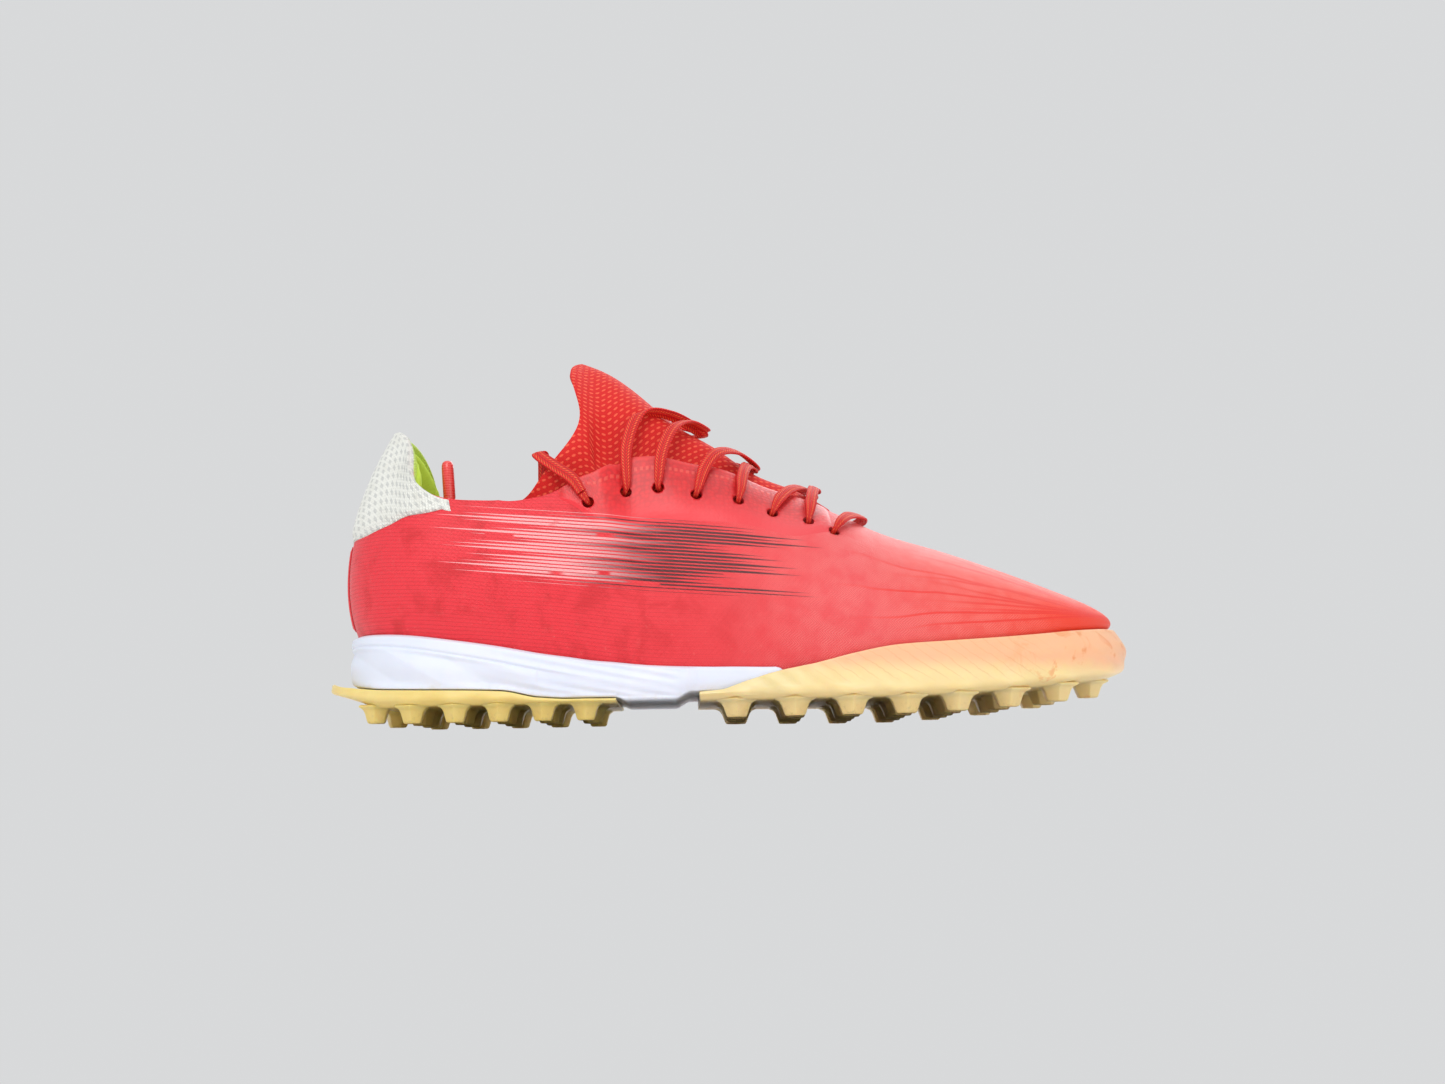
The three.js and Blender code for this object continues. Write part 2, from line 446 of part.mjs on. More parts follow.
// ---------------------------------------------------------------- lace
// Route points: loop index, height fraction, lift above the outer surface.
const OVER = GAP + TAPE_T + 0.2 + 0.5 + LACE_T / 2;        // above the eyestay
const UNDER = -SHELL_T - 1.0 - LACE_T / 2;                  // between upper and tongue
const RIDGE_LOW = 0.2 + 0.9 + LACE_T / 2, RIDGE_HIGH = RIDGE_LOW + LACE_T + 0.6;
function sweepFlat(points, wide, size) {
  // points and wide[] (width direction) sampled along the lace
  const verts = [], tris = [];
  const n = points.length;
  const sec = [[-0.5, 0], [-0.34, -0.5], [0.34, -0.5], [0.5, 0], [0.34, 0.5], [-0.34, 0.5]];
  for (let j = 0; j < n; j++) {
    const [w, t] = size[j];
    const tan = points[Math.min(j + 1, n - 1)].clone().sub(points[Math.max(j - 1, 0)]).normalize();
    const W = wide[j].clone().addScaledVector(tan, -wide[j].dot(tan)).normalize();
    const N = W.clone().cross(tan).normalize();
    for (const [a, b] of sec) verts.push(points[j].clone().addScaledVector(W, a * w).addScaledVector(N, b * t));
  }
  const m = sec.length;
  for (let j = 0; j + 1 < n; j++) {
    for (let q = 0; q < m; q++) {
      const a = j * m + q, b = j * m + (q + 1) % m, c = a + m, d = b + m;
      tris.push([a, c, d]); tris.push([a, d, b]);
    }
  }
  for (let q = 1; q + 1 < m; q++) { tris.push([0, q, q + 1]); const z = (n - 1) * m; tris.push([z, z + q + 1, z + q]); }
  const g = geometryOf(verts, tris);
  const s = solidOf(g);
  return s.volume() < 0 ? geometryOf(verts, tris.map(([a, b, c]) => [a, c, b])) : g;
}
const sideLoop = (side) => (side < 0 ? li : mi);
const eye = (side, e) => { const [k, v] = EYELETS[e]; return [sideLoop(side)(k), v]; };
const CROSS_K = { 6: 17.55, 4: 15.95, 2: 14.62 };           // ridge station of each crossing
// a strand on top of the shoe from hole a on one side to hole b on the other
function strand(s, a, b, high) {
  const kc = CROSS_K[Math.min(a, b)] ?? CROSS_K[Math.min(a, b) + 1];
  const out = [];
  const half = (side, e) => {
    const [k0, v0] = EYELETS[e], toLoop = sideLoop(side);
    return [0.18, 0.42, 0.72].map((f) => {
      const k = lerp(k0, kc, f), v = lerp(v0, 1, f ** 0.92);
      const top = (high ? RIDGE_HIGH : RIDGE_LOW) + (kc < 15 ? 0.9 : 0.2);
      const lift = f < 0.3 ? OVER + 0.25 + (high ? 0.5 : 0) : lerp(OVER + 0.2, top, f) + (high ? 0.6 : 0.1);
      return surf(toLoop(k), v, lift);
    });
  };
  out.push(...half(s, a));
  out.push(surf(sideLoop(s)(kc), 1, (high ? RIDGE_HIGH : RIDGE_LOW) + (kc < 15 ? 0.9 : 0.2)));
  out.push(...half(-s, b).reverse());
  return out;
}
const up = (side, e, off) => { const [i, v] = eye(side, e); return surf(i, v, off); };
const alongThroat = (side, e) => {
  const [i, v] = eye(side, e);
  return surf(i + (side < 0 ? 0.4 : -0.4), v).sub(surf(i - (side < 0 ? 0.4 : -0.4), v)).normalize();
};
const FLAT = [LACE_W, LACE_T], BUNCHED = [1.9, 1.25], HALF = [3.1, 1.1];
// points through one hole, moved a little towards the neighbour above or below
function holePoint(side, e, off, target, shift) {
  const p = up(side, e, off), n = normalAt(...eye(side, e));
  const d = target.clone().sub(p);
  d.addScaledVector(n, -d.dot(n)).normalize();
  return p.addScaledVector(d, shift);
}
// route of one half, from the middle of the bottom bar to the topmost hole
function halfRoute(s) {
  const pts = [], wide = [], size = [];
  const put = (p, w, z = FLAT) => { pts.push(p); wide.push(w.clone().normalize()); size.push(z); };
  const bar = new THREE.Vector3(0.9, 0, -0.45).normalize();
  put(surf(sideLoop(s)(18.9), 1, OVER - 0.1), bar);
  put(surf(sideLoop(s)(18.75), 0.9, OVER + 0.3), bar);
  const b2 = surf(sideLoop(s)(18.3), 0.77, OVER + 0.2);
  put(b2, bar);
  let side = s;
  const through = (e, above, below, down) => {
    const W = alongThroat(side, e), n = normalAt(...eye(side, e));
    const across = W.clone().cross(n);
    const mixed = W.clone().lerp(across.clone().multiplyScalar(across.z < 0 ? -1 : 1), 0.5);
    const low = across.multiplyScalar(across.z < 0 ? -1 : 1);
    const q = [[holePoint(side, e, OVER, above, 3.2), W, HALF], [holePoint(side, e, 1.2, above, 0.6), W, BUNCHED],
      [holePoint(side, e, -1.8, below, 0.6), mixed, BUNCHED], [holePoint(side, e, UNDER, below, 3.2), low, HALF]];
    if (!down) q.reverse();
    for (const a of q) put(...a);
  };
  const beneath = (e) => { // midpoint of the hidden run between holes e and e + 1
    const toLoop = sideLoop(side);
    return surf(toLoop((EYELETS[e][0] + EYELETS[e + 1][0]) / 2), (EYELETS[e][1] + EYELETS[e + 1][1]) / 2, UNDER - 0.15);
  };
  let under = beneath(6);
  through(7, b2, under, true);
  for (const e of [6, 4, 2]) {
    const st = strand(side, e, e - 1, s < 0);
    through(e, st[0], under, false);
    const W0 = alongThroat(side, e), W1 = alongThroat(-side, e - 1);
    st.forEach((p, j) => put(p, W0.clone().lerp(W1, (j + 1) / (st.length + 1))));
    side = -side;
    under = beneath(e - 2);
    through(e - 1, st[st.length - 1], under, true);
  }
  // out of the topmost hole
  const tailStart = TAIL_START(side);
  through(0, tailStart, under, false);
  return { pts, wide, size, side };
}
const TAIL_START = (side) => surf(sideLoop(side)(7.8), 0.78, OVER + 0.6);
function resample(route, step) {
  const curve = new THREE.CatmullRomCurve3(route.pts, false, 'centripetal');
  const pts = [], wide = [], size = [];
  const n = route.pts.length - 1;
  for (let j = 0; j < n; j++) {
    const len = route.pts[j].distanceTo(route.pts[j + 1]);
    const m = Math.max(1, Math.round(len / step));
    for (let q = 0; q < m; q++) {
      pts.push(curve.getPoint((j + q / m) / n));
      wide.push(route.wide[j].clone().lerp(route.wide[j + 1], q / m).normalize());
      size.push([0, 1].map((c) => lerp(route.size[j][c], route.size[j + 1][c], q / m)));
    }
  }
  pts.push(route.pts[n].clone()); wide.push(route.wide[n].clone()); size.push(route.size[n]);
  return { pts, wide, size };
}
const hl = resample(halfRoute(-1), 7.5), hm = resample(halfRoute(1), 7.5);
const joined = (key, mid) => [...hl[key].slice(1).reverse(), mid, ...hm[key].slice(1)];
add('lace', sweepFlat(joined('pts', hl.pts[0].clone().lerp(hm.pts[0], 0.5)), joined('wide', hl.wide[0]), joined('size', FLAT)), 0xeb1a10, 0.7);

// loose lace ends, folded over the collar edge and tucked inside the shoe
const AGLET_BASE_GAP = 0.4;
function tail(side, route) {
  const src = (side < 0 ? hm : hl);
  const last = src.pts[src.pts.length - 1], prev = src.pts[src.pts.length - 2];
  const dir = last.clone().sub(prev).normalize();
  const W0 = alongThroat(side, 0);
  const y = side;
  const pts = [last.clone().addScaledVector(dir, 0.5), TAIL_START(side), surf(sideLoop(side)(7.3), 0.92, OVER + 0.4)];
  const wide = [W0, W0, new THREE.Vector3(0.8, 0, 0.6)];
  for (const [x, yy, z, wx, wy, wz] of route) { pts.push(new THREE.Vector3(x, yy * y, z)); wide.push(new THREE.Vector3(wx, wy * y, wz)); }
  const size = pts.map((_, j) => (j === 0 ? [3.4, 1.3] : FLAT));
  size[size.length - 1] = [3.0, 1.6];
  return resample({ pts, wide: wide.map((w) => w.normalize()), size }, 7);
}
const TAIL_ROUTES = {
  lateral: [[-66.8, 31.6, 92.0, 1, 0, 0.2], [-65.5, 27.2, 92.6, 1, 0, 0.2], [-65.5, 24.2, 86, 1, 0.3, 0], [-67, 22.6, 77, 0.6, 1, 0],
    [-73, 21.4, 67.5, 0, 1, 0], [-83, 20.6, 62.5, 0, 1, 0], [-93, 20, 65.0, 0, 1, 0], [-98.8, 19.4, 72.5, 0, 1, 0]],
  medial: [[-66.8, 31.6, 92.0, 1, 0, 0.2], [-65.5, 27.2, 92.6, 1, 0, 0.2], [-65.5, 24.2, 86, 1, 0.3, 0], [-68, 22.4, 77, 0.6, 1, 0],
    [-75, 21.4, 67.5, 0, 1, 0], [-87, 20.4, 62.0, 0, 1, 0], [-97, 18.6, 60.5, 0, 1, 0]],
};
const AGLET_TIPS = { lateral: [-100.2, 18.8, 91.5], medial: [-115.5, 14.5, 61.5] };
for (const [name, side] of [['lateral', -1], ['medial', 1]]) {
  const t = tail(side, TAIL_ROUTES[name]);
  add('lace_tail_' + name, sweepFlat(t.pts, t.wide, t.size), 0xeb1a10, 0.7);
  const end = t.pts[t.pts.length - 1];
  const tip = new THREE.Vector3(AGLET_TIPS[name][0], AGLET_TIPS[name][1] * side, AGLET_TIPS[name][2]);
  const axis = tip.clone().sub(end).normalize();
  const profile = [[0, 0], [AGLET_R * 0.92, 0], [AGLET_R, 0.6], [AGLET_R, AGLET_L - 2], [AGLET_R * 0.72, AGLET_L - 0.6], [0, AGLET_L]].map((q) => new THREE.Vector2(...q));
  const g = new THREE.LatheGeometry(profile, 10);
  g.applyQuaternion(new THREE.Quaternion().setFromUnitVectors(new THREE.Vector3(0, 1, 0), axis));
  const o = end.clone().addScaledVector(axis, AGLET_BASE_GAP + 0.2);
  g.translate(o.x, o.y, o.z);
  add('aglet_' + name, backToGeometry(solidOf(g)), 0xe02a1c, 0.3);
}

const group = new THREE.Group();
for (const p of parts) {
  const mesh = new THREE.Mesh(p.geometry, new THREE.MeshStandardMaterial({ color: p.color, roughness: p.roughness, metalness: p.metalness }));
  mesh.name = p.name;
  group.add(mesh);
}
group.position.set(...CENTRE);
export default group;
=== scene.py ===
# Right-foot turf soccer shoe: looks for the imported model.
import math, json
import bpy, bmesh
import numpy as np
from mathutils import Vector, Matrix, Quaternion
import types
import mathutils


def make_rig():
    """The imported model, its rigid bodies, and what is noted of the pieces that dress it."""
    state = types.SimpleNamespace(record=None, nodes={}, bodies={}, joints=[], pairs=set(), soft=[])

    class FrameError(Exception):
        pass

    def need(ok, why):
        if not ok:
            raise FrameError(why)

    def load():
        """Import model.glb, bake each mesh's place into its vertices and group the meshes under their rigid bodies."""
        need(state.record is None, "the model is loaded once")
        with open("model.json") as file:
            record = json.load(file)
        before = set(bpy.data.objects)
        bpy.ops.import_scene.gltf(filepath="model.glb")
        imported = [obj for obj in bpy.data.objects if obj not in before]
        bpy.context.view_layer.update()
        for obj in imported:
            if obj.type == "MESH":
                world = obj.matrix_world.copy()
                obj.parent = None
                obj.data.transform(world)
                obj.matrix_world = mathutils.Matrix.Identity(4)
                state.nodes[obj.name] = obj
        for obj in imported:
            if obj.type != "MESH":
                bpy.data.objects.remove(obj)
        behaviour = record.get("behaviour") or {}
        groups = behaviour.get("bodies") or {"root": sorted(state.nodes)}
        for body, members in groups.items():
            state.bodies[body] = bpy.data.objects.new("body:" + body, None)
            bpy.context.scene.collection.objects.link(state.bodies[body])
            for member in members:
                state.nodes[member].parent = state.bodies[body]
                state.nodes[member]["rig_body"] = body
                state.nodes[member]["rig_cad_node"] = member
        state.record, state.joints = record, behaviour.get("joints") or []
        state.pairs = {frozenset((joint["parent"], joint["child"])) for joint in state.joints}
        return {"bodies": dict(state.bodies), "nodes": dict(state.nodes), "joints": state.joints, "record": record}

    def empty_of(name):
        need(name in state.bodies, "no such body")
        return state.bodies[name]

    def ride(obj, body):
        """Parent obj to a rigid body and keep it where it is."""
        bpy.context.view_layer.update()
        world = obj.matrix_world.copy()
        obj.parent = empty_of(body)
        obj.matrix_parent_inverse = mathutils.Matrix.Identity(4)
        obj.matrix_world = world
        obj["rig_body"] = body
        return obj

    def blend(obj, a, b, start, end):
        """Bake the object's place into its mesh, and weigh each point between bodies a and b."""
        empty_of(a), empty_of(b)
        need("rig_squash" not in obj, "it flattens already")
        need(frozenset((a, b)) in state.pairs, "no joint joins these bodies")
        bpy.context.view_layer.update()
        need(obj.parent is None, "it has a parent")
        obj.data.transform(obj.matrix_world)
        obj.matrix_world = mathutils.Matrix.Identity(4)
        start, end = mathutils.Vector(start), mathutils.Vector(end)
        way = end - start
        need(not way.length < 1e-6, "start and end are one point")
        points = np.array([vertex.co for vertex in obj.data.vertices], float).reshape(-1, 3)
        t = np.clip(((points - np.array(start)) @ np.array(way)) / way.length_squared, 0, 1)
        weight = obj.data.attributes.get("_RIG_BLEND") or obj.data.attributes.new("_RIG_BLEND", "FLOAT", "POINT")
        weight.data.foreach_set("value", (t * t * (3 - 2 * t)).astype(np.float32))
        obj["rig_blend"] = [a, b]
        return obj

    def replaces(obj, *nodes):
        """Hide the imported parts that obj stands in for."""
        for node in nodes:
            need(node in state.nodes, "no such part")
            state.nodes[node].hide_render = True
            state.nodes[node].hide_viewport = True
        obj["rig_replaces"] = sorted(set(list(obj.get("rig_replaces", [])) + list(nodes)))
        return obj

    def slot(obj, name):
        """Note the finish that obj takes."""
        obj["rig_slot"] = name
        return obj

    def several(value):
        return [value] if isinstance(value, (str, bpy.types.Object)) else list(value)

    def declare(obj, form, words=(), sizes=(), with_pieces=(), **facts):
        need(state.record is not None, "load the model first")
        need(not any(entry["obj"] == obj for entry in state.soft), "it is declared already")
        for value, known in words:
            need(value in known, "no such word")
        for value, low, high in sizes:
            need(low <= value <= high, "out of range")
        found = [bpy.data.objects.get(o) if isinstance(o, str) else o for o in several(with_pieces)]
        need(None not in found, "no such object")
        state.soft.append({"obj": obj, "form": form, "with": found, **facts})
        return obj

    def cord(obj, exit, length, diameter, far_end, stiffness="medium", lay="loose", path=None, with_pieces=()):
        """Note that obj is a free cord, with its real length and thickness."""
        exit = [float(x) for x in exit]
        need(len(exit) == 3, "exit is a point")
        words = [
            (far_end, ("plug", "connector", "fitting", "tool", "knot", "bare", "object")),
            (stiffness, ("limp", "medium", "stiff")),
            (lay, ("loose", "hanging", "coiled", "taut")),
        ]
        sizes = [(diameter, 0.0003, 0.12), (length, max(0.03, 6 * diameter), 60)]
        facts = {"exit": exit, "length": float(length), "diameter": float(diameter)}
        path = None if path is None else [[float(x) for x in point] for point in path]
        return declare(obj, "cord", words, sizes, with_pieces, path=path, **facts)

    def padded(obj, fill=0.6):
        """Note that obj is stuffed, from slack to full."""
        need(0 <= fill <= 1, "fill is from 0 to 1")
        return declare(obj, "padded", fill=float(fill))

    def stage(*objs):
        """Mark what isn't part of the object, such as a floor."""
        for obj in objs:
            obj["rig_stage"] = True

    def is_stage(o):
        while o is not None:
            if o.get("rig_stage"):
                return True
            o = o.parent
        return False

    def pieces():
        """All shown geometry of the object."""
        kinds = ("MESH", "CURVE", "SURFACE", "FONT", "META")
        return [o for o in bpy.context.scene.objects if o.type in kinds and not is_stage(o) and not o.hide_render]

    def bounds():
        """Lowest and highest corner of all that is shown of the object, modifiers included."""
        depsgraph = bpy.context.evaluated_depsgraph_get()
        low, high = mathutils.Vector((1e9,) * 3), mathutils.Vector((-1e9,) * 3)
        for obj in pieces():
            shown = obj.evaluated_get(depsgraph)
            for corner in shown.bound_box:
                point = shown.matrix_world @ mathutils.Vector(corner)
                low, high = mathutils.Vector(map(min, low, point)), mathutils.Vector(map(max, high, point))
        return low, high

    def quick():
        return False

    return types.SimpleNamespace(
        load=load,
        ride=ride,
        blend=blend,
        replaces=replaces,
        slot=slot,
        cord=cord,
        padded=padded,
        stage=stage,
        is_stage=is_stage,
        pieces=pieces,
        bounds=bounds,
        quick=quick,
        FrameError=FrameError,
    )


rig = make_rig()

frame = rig.load()
NODES = frame["nodes"]
MM = 0.001
SHIFT = np.array([0.6, 1.35, 0.0])          # same centring shift as the CAD model
rng = np.random.default_rng(7)
for _name in ("Cube", "Light", "Camera"):           # the factory scene's own objects
    if _name in bpy.data.objects and _name not in NODES:
        bpy.data.objects.remove(bpy.data.objects[_name])
CAD_BOX = [list(c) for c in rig.bounds()]

# ------------------------------------------------------------------ camera
def make_camera():
    e, roll = math.radians(8.5), math.radians(1.0)
    fwd = Vector((0, math.cos(e), math.sin(e)))
    up0 = Vector((0, -math.sin(e), math.cos(e)))
    rt0 = Vector((1, 0, 0))
    rt = rt0 * math.cos(roll) - up0 * math.sin(roll)
    up = rt0 * math.sin(roll) + up0 * math.cos(roll)
    target = Vector((-3.3, 0, 64.86)) + Vector(SHIFT)
    loc = (target - fwd * 600.0) * MM
    cam_data = bpy.data.cameras.new("camera")
    cam = bpy.data.objects.new("camera", cam_data)
    bpy.context.scene.collection.objects.link(cam)
    cam.matrix_world = Matrix((
        (rt.x, up.x, -fwd.x, loc.x), (rt.y, up.y, -fwd.y, loc.y), (rt.z, up.z, -fwd.z, loc.z), (0, 0, 0, 1)))
    cam_data.sensor_width = 36.0
    cam_data.lens = 36.0 * 1653.0 / 1445.0
    cam_data.clip_start, cam_data.clip_end = 0.01, 50
    bpy.context.scene.camera = cam
make_camera()

# ------------------------------------------------------------------ last shape (millimetres, before the shift)
LAT = [
  [[-134, 0, 31], [-143, 0, 54], [-134, 0, 85], [-121, 0, 106]],
  [[-129, -17, 31], [-138, -20, 52], [-128, -16, 84], [-118, -9.5, 105]],
  [[-120, -27, 30.5], [-126, -32, 50], [-118, -27, 78], [-113.5, -18.5, 97]],
  [[-109, -32, 29.5], [-112, -38, 48], [-110, -34, 70], [-111, -26.5, 85.5]],
  [[-95, -34.5, 27.5], [-97, -40, 45], [-97, -37, 62], [-101, -31, 77.8]],
  [[-79, -35.5, 25], [-80, -40.5, 43], [-84, -38, 60], [-87, -32.5, 76]],
  [[-66, -36, 22.5], [-66, -41, 43], [-72, -38, 62], [-74, -32.3, 77.5]],
  [[-56, -36, 21], [-55, -41, 44], [-61, -37, 68], [-63.5, -31, 87.5]],
  [[-48, -36.5, 19.7], [-46, -41.5, 45], [-51, -36, 78], [-55, -28.5, 99]],
  [[-41, -36.8, 19], [-39, -42, 47], [-46, -35, 92], [-53, -24, 110.5]],
  [[-35, -37, 18.3], [-32, -42, 50], [-46, -32, 107], [-57, -14, 125]],
  [[-29, -37.3, 17.7], [-26, -42.5, 52], [-46, -25, 122], [-54, 0, 132]],
  [[-23, -37.8, 17.3], [-20, -43, 54], [-40, -25, 122], [-43, 0, 127]],
  [[-15, -38.8, 16.9], [-12, -44, 54], [-30, -27, 115.5], [-31, 0, 117.5]],
  [[-6, -40, 16.6], [-4, -45, 52], [-18, -28, 106], [-19, 0.3, 107]],
  [[4, -42, 16.3], [5, -47, 48], [-5, -28, 98.3], [-6, 0.8, 99.3]],
  [[15, -44, 16], [15, -49, 44], [9, -28, 88], [8, 1.5, 89.5]],
  [[27, -45.8, 17.2], [27, -51, 40], [23, -29, 82], [22, 2.3, 83.8]],
  [[40, -46.8, 20.3], [40, -52, 38], [36, -30, 75], [35, 3.2, 77]],
  [[54, -46.5, 22.8], [55, -51.5, 37], [50, -29, 67.2], [48, 4.2, 69.8]],
  [[70, -43.5, 24], [72, -48, 36], [64, -27, 62], [60, 5.2, 65.2]],
  [[86, -38.5, 25.2], [89, -43, 35.5], [77, -23.5, 58.3], [70, 6, 62.3]],
  [[102, -31, 26.8], [106, -35, 35.5], [91, -18, 54.3], [78, 6.8, 59.6]],
  [[118, -20.5, 28.8], [123.5, -23, 36], [104, -10, 50], [84, 7.4, 57.4]],
  [[130.5, -6.5, 30.3], [138, -7, 36.6], [112.5, 0, 46.6], [88, 7.8, 56]],
  [[136, 8, 31], [144, 8, 36.5], [115, 8, 46], [89.5, 8, 55.4]],
]
MED = [None,
  [[-129, 17, 31], [-138, 20, 52], [-128, 16, 84]],
  [[-120, 26.8, 30.5], [-126, 32, 50], [-118, 27, 78]],
  [[-109, 31.3, 29.5], [-112, 37, 48], [-110, 33.5, 71]],
  [[-95, 32.8, 27.5], [-97, 38, 45], [-97, 36, 63]],
  [[-79, 32.3, 25], [-80, 38, 43], [-84, 36, 60]],
  [[-67, 31.3, 23.2], [-66, 37.5, 44], [-72, 36, 62]],
  [[-58, 30.4, 22], [-55, 37, 46], [-61, 35.5, 68]],
  [[-50, 29.6, 21], [-46, 37, 48], [-51, 35, 78]],
  [[-43, 29, 20.3], [-39, 37, 51], [-46, 34, 92]],
  [[-37, 28.6, 19.7], [-32, 37, 55], [-46, 31, 107]],
  [[-31, 28.4, 19.2], [-26, 37, 58], [-46, 25, 122]],
  [[-25, 28.4, 18.7], [-20, 37, 60], [-40, 25, 122]],
  [[-17, 28.6, 18.2], [-12, 37, 60], [-30, 27, 115.5]],
  [[-8, 29.3, 17.8], [-4, 37, 58], [-18, 29, 106.5]],
  [[2, 31, 17.5], [5, 37.5, 53], [-5, 30, 99]],
  [[13, 33.5, 17.5], [15, 39, 48], [9, 31, 90]],
  [[26, 37, 18.2], [27, 41.5, 43], [23, 32.5, 83.5]],
  [[40, 40.5, 20.3], [40.5, 45, 40], [36, 34, 76.5]],
  [[55, 43, 22.5], [56, 47, 38], [50, 36, 68.5]],
  [[72, 44, 24], [73.5, 48, 36.5], [64, 37, 63]],
  [[89, 42.7, 25.2], [91.5, 46.5, 35.5], [77, 35, 58.8]],
  [[106, 38.5, 27], [109.5, 42, 35.5], [91, 31, 54.5]],
  [[121, 31.5, 28.8], [126, 34.5, 36], [104, 24, 50]],
  [[131.5, 21, 30.3], [138.5, 22.5, 36.6], [112, 15.5, 46.6]],
]
NK, LOOP, TIP = 25, 50, 11
SHELL_T, TAPE_T, GAP = 1.8, 0.8, 0.35
STUD_H = 5.6


class Spline:
    """Cubic interpolating spline through points at whole numbers."""
    def __init__(self, pts, closed=False):
        p = self.p = np.array(pts, float)
        n = self.n = len(p)
        self.closed = closed
        A, rhs = np.zeros((n, n)), np.zeros_like(p)
        for i in range(n):
            if closed:
                A[i, (i - 1) % n], A[i, i], A[i, (i + 1) % n] = 1, 4, 1
                rhs[i] = 3 * (p[(i + 1) % n] - p[(i - 1) % n])
            elif i == 0:
                A[0, 0], A[0, 1] = 2, 1
                rhs[0] = 3 * (p[1] - p[0])
            elif i == n - 1:
                A[i, i], A[i, i - 1] = 2, 1
                rhs[i] = 3 * (p[i] - p[i - 1])
            else:
                A[i, i - 1], A[i, i], A[i, i + 1] = 1, 4, 1
                rhs[i] = 3 * (p[i + 1] - p[i - 1])
        self.d = np.linalg.solve(A, rhs)

    def __call__(self, t):
        t = np.asarray(t, float)
        n = self.n
        if self.closed:
            t = np.mod(t, n)
            t = np.where(t >= n, 0.0, t)
            i = np.floor(t).astype(int)
            j = (i + 1) % n
        else:
            i = np.clip(np.floor(t).astype(int), 0, n - 2)
            j = i + 1
        u = (t - i)[..., None]
        a, b, da, db = self.p[i], self.p[j], self.d[i], self.d[j]
        return a + da * u + (3 * (b - a) - 2 * da - db) * u ** 2 + (2 * (a - b) + da + db) * u ** 3


RAIL = [Spline([LAT[k][c] for k in range(NK + 1)] + [MED[k][c] for k in range(NK - 1, 0, -1)], True) for c in range(3)]
EDGE = Spline([[LAT[k][3][0], -LAT[k][3][1], LAT[k][3][2]] for k in range(TIP, 0, -1)] + [LAT[k][3] for k in range(TIP + 1)])
RIDGE = Spline([LAT[k][3] for k in range(TIP, NK + 1)])


def k_of(i):
    j = np.mod(np.asarray(i, float), LOOP)
    return np.where(j <= NK, j, LOOP - j)


def smooth(x):
    t = np.clip(x, 0, 1)
    return t * t * (3 - 2 * t)


def lerp(a, b, t):
    return a + (b - a) * t


def table(rows):
    xs, ys = np.array([r[0] for r in rows], float), np.array([r[1] for r in rows], float)
    # monotone cubic through the table
    h, s = np.diff(xs), np.diff(ys) / np.diff(xs)
    m = np.zeros(len(xs))
    m[1:-1] = np.where(s[:-1] * s[1:] > 0, 2 * s[:-1] * s[1:] / (s[:-1] + s[1:] + 1e-12), 0)
    m[0], m[-1] = s[0], s[-1]

    def f(k):
        k = np.clip(np.asarray(k, float), xs[0], xs[-1])
        i = np.clip(np.searchsorted(xs, k, "right") - 1, 0, len(xs) - 2)
        t = (k - xs[i]) / h[i]
        return ((2 * t**3 - 3 * t**2 + 1) * ys[i] + (t**3 - 2 * t**2 + t) * h[i] * m[i]
                + (-2 * t**3 + 3 * t**2) * ys[i + 1] + (t**3 - t**2) * h[i] * m[i + 1])
    return f


footbed = table([[0, 24], [3, 22.5], [6, 18.5], [9, 15.2], [13, 12.6], [17, 11.6], [19, 12], [21, 14], [23, 17], [25, 20]])
throat_v = table([[5.5, 1.0], [6, 0.96], [7, 0.84], [8, 0.77], [9, 0.67], [10, 0.59], [11, 0.54], [12, 0.555], [13, 0.59],
                  [14, 0.64], [15, 0.70], [16, 0.765], [17, 0.785], [18, 0.82], [18.5, 0.885], [19, 1.0]])


def outline_normal(i):
    d = RAIL[0](np.asarray(i) + 0.2) - RAIL[0](np.asarray(i) - 0.2)
    n = np.stack([d[..., 1], -d[..., 0], np.zeros_like(d[..., 0])], -1)
    return n / np.linalg.norm(n, axis=-1, keepdims=True)


def top_at(i):
    j = np.mod(np.asarray(i, float), LOOP)
    k = k_of(i)
    e = EDGE(np.where(j <= NK, TIP + k, TIP - k).clip(0, 2 * TIP))
    r = RIDGE((k - TIP).clip(0, NK - TIP))
    return np.where((k <= TIP)[..., None], e, r)


def raw(i, v):
    """surface point; the bend below the ankle is eased by averaging along the shoe, away from the edges"""
    i, v = np.broadcast_arrays(np.asarray(i, float), np.asarray(v, float))
    p = raw0(i, v)
    k = k_of(i)
    w = smooth((k - 5.6) / 1.8) * smooth((13.2 - k) / 2.0) * smooth(v * 2.2) * smooth((1 - v) * 3.2)
    q = sum(raw0(i + d, v) * c for d, c in ((-0.6, 0.12), (-0.4, 0.16), (-0.2, 0.2), (0, 0.04), (0.2, 0.2), (0.4, 0.16), (0.6, 0.12)))
    return p + (q - p) * w[..., None]


def raw0(i, v):
    B, P1, P2, T = RAIL[0](i), RAIL[1](i), RAIL[2](i), top_at(i)
    vv = np.maximum(v, 0)[..., None]
    u = 1 - vv
    p = B * u**3 + P1 * 3 * u * u * vv + P2 * 3 * u * vv * vv + T * vv**3
    low = B - outline_normal(i) * 0.6
    low[..., 2] = footbed(k_of(i)) + GAP
    return np.where((v < 0)[..., None], B + (low - B) * np.maximum(-v, 0)[..., None], p)


def unit(a):
    return a / np.maximum(np.linalg.norm(a, axis=-1, keepdims=True), 1e-12)


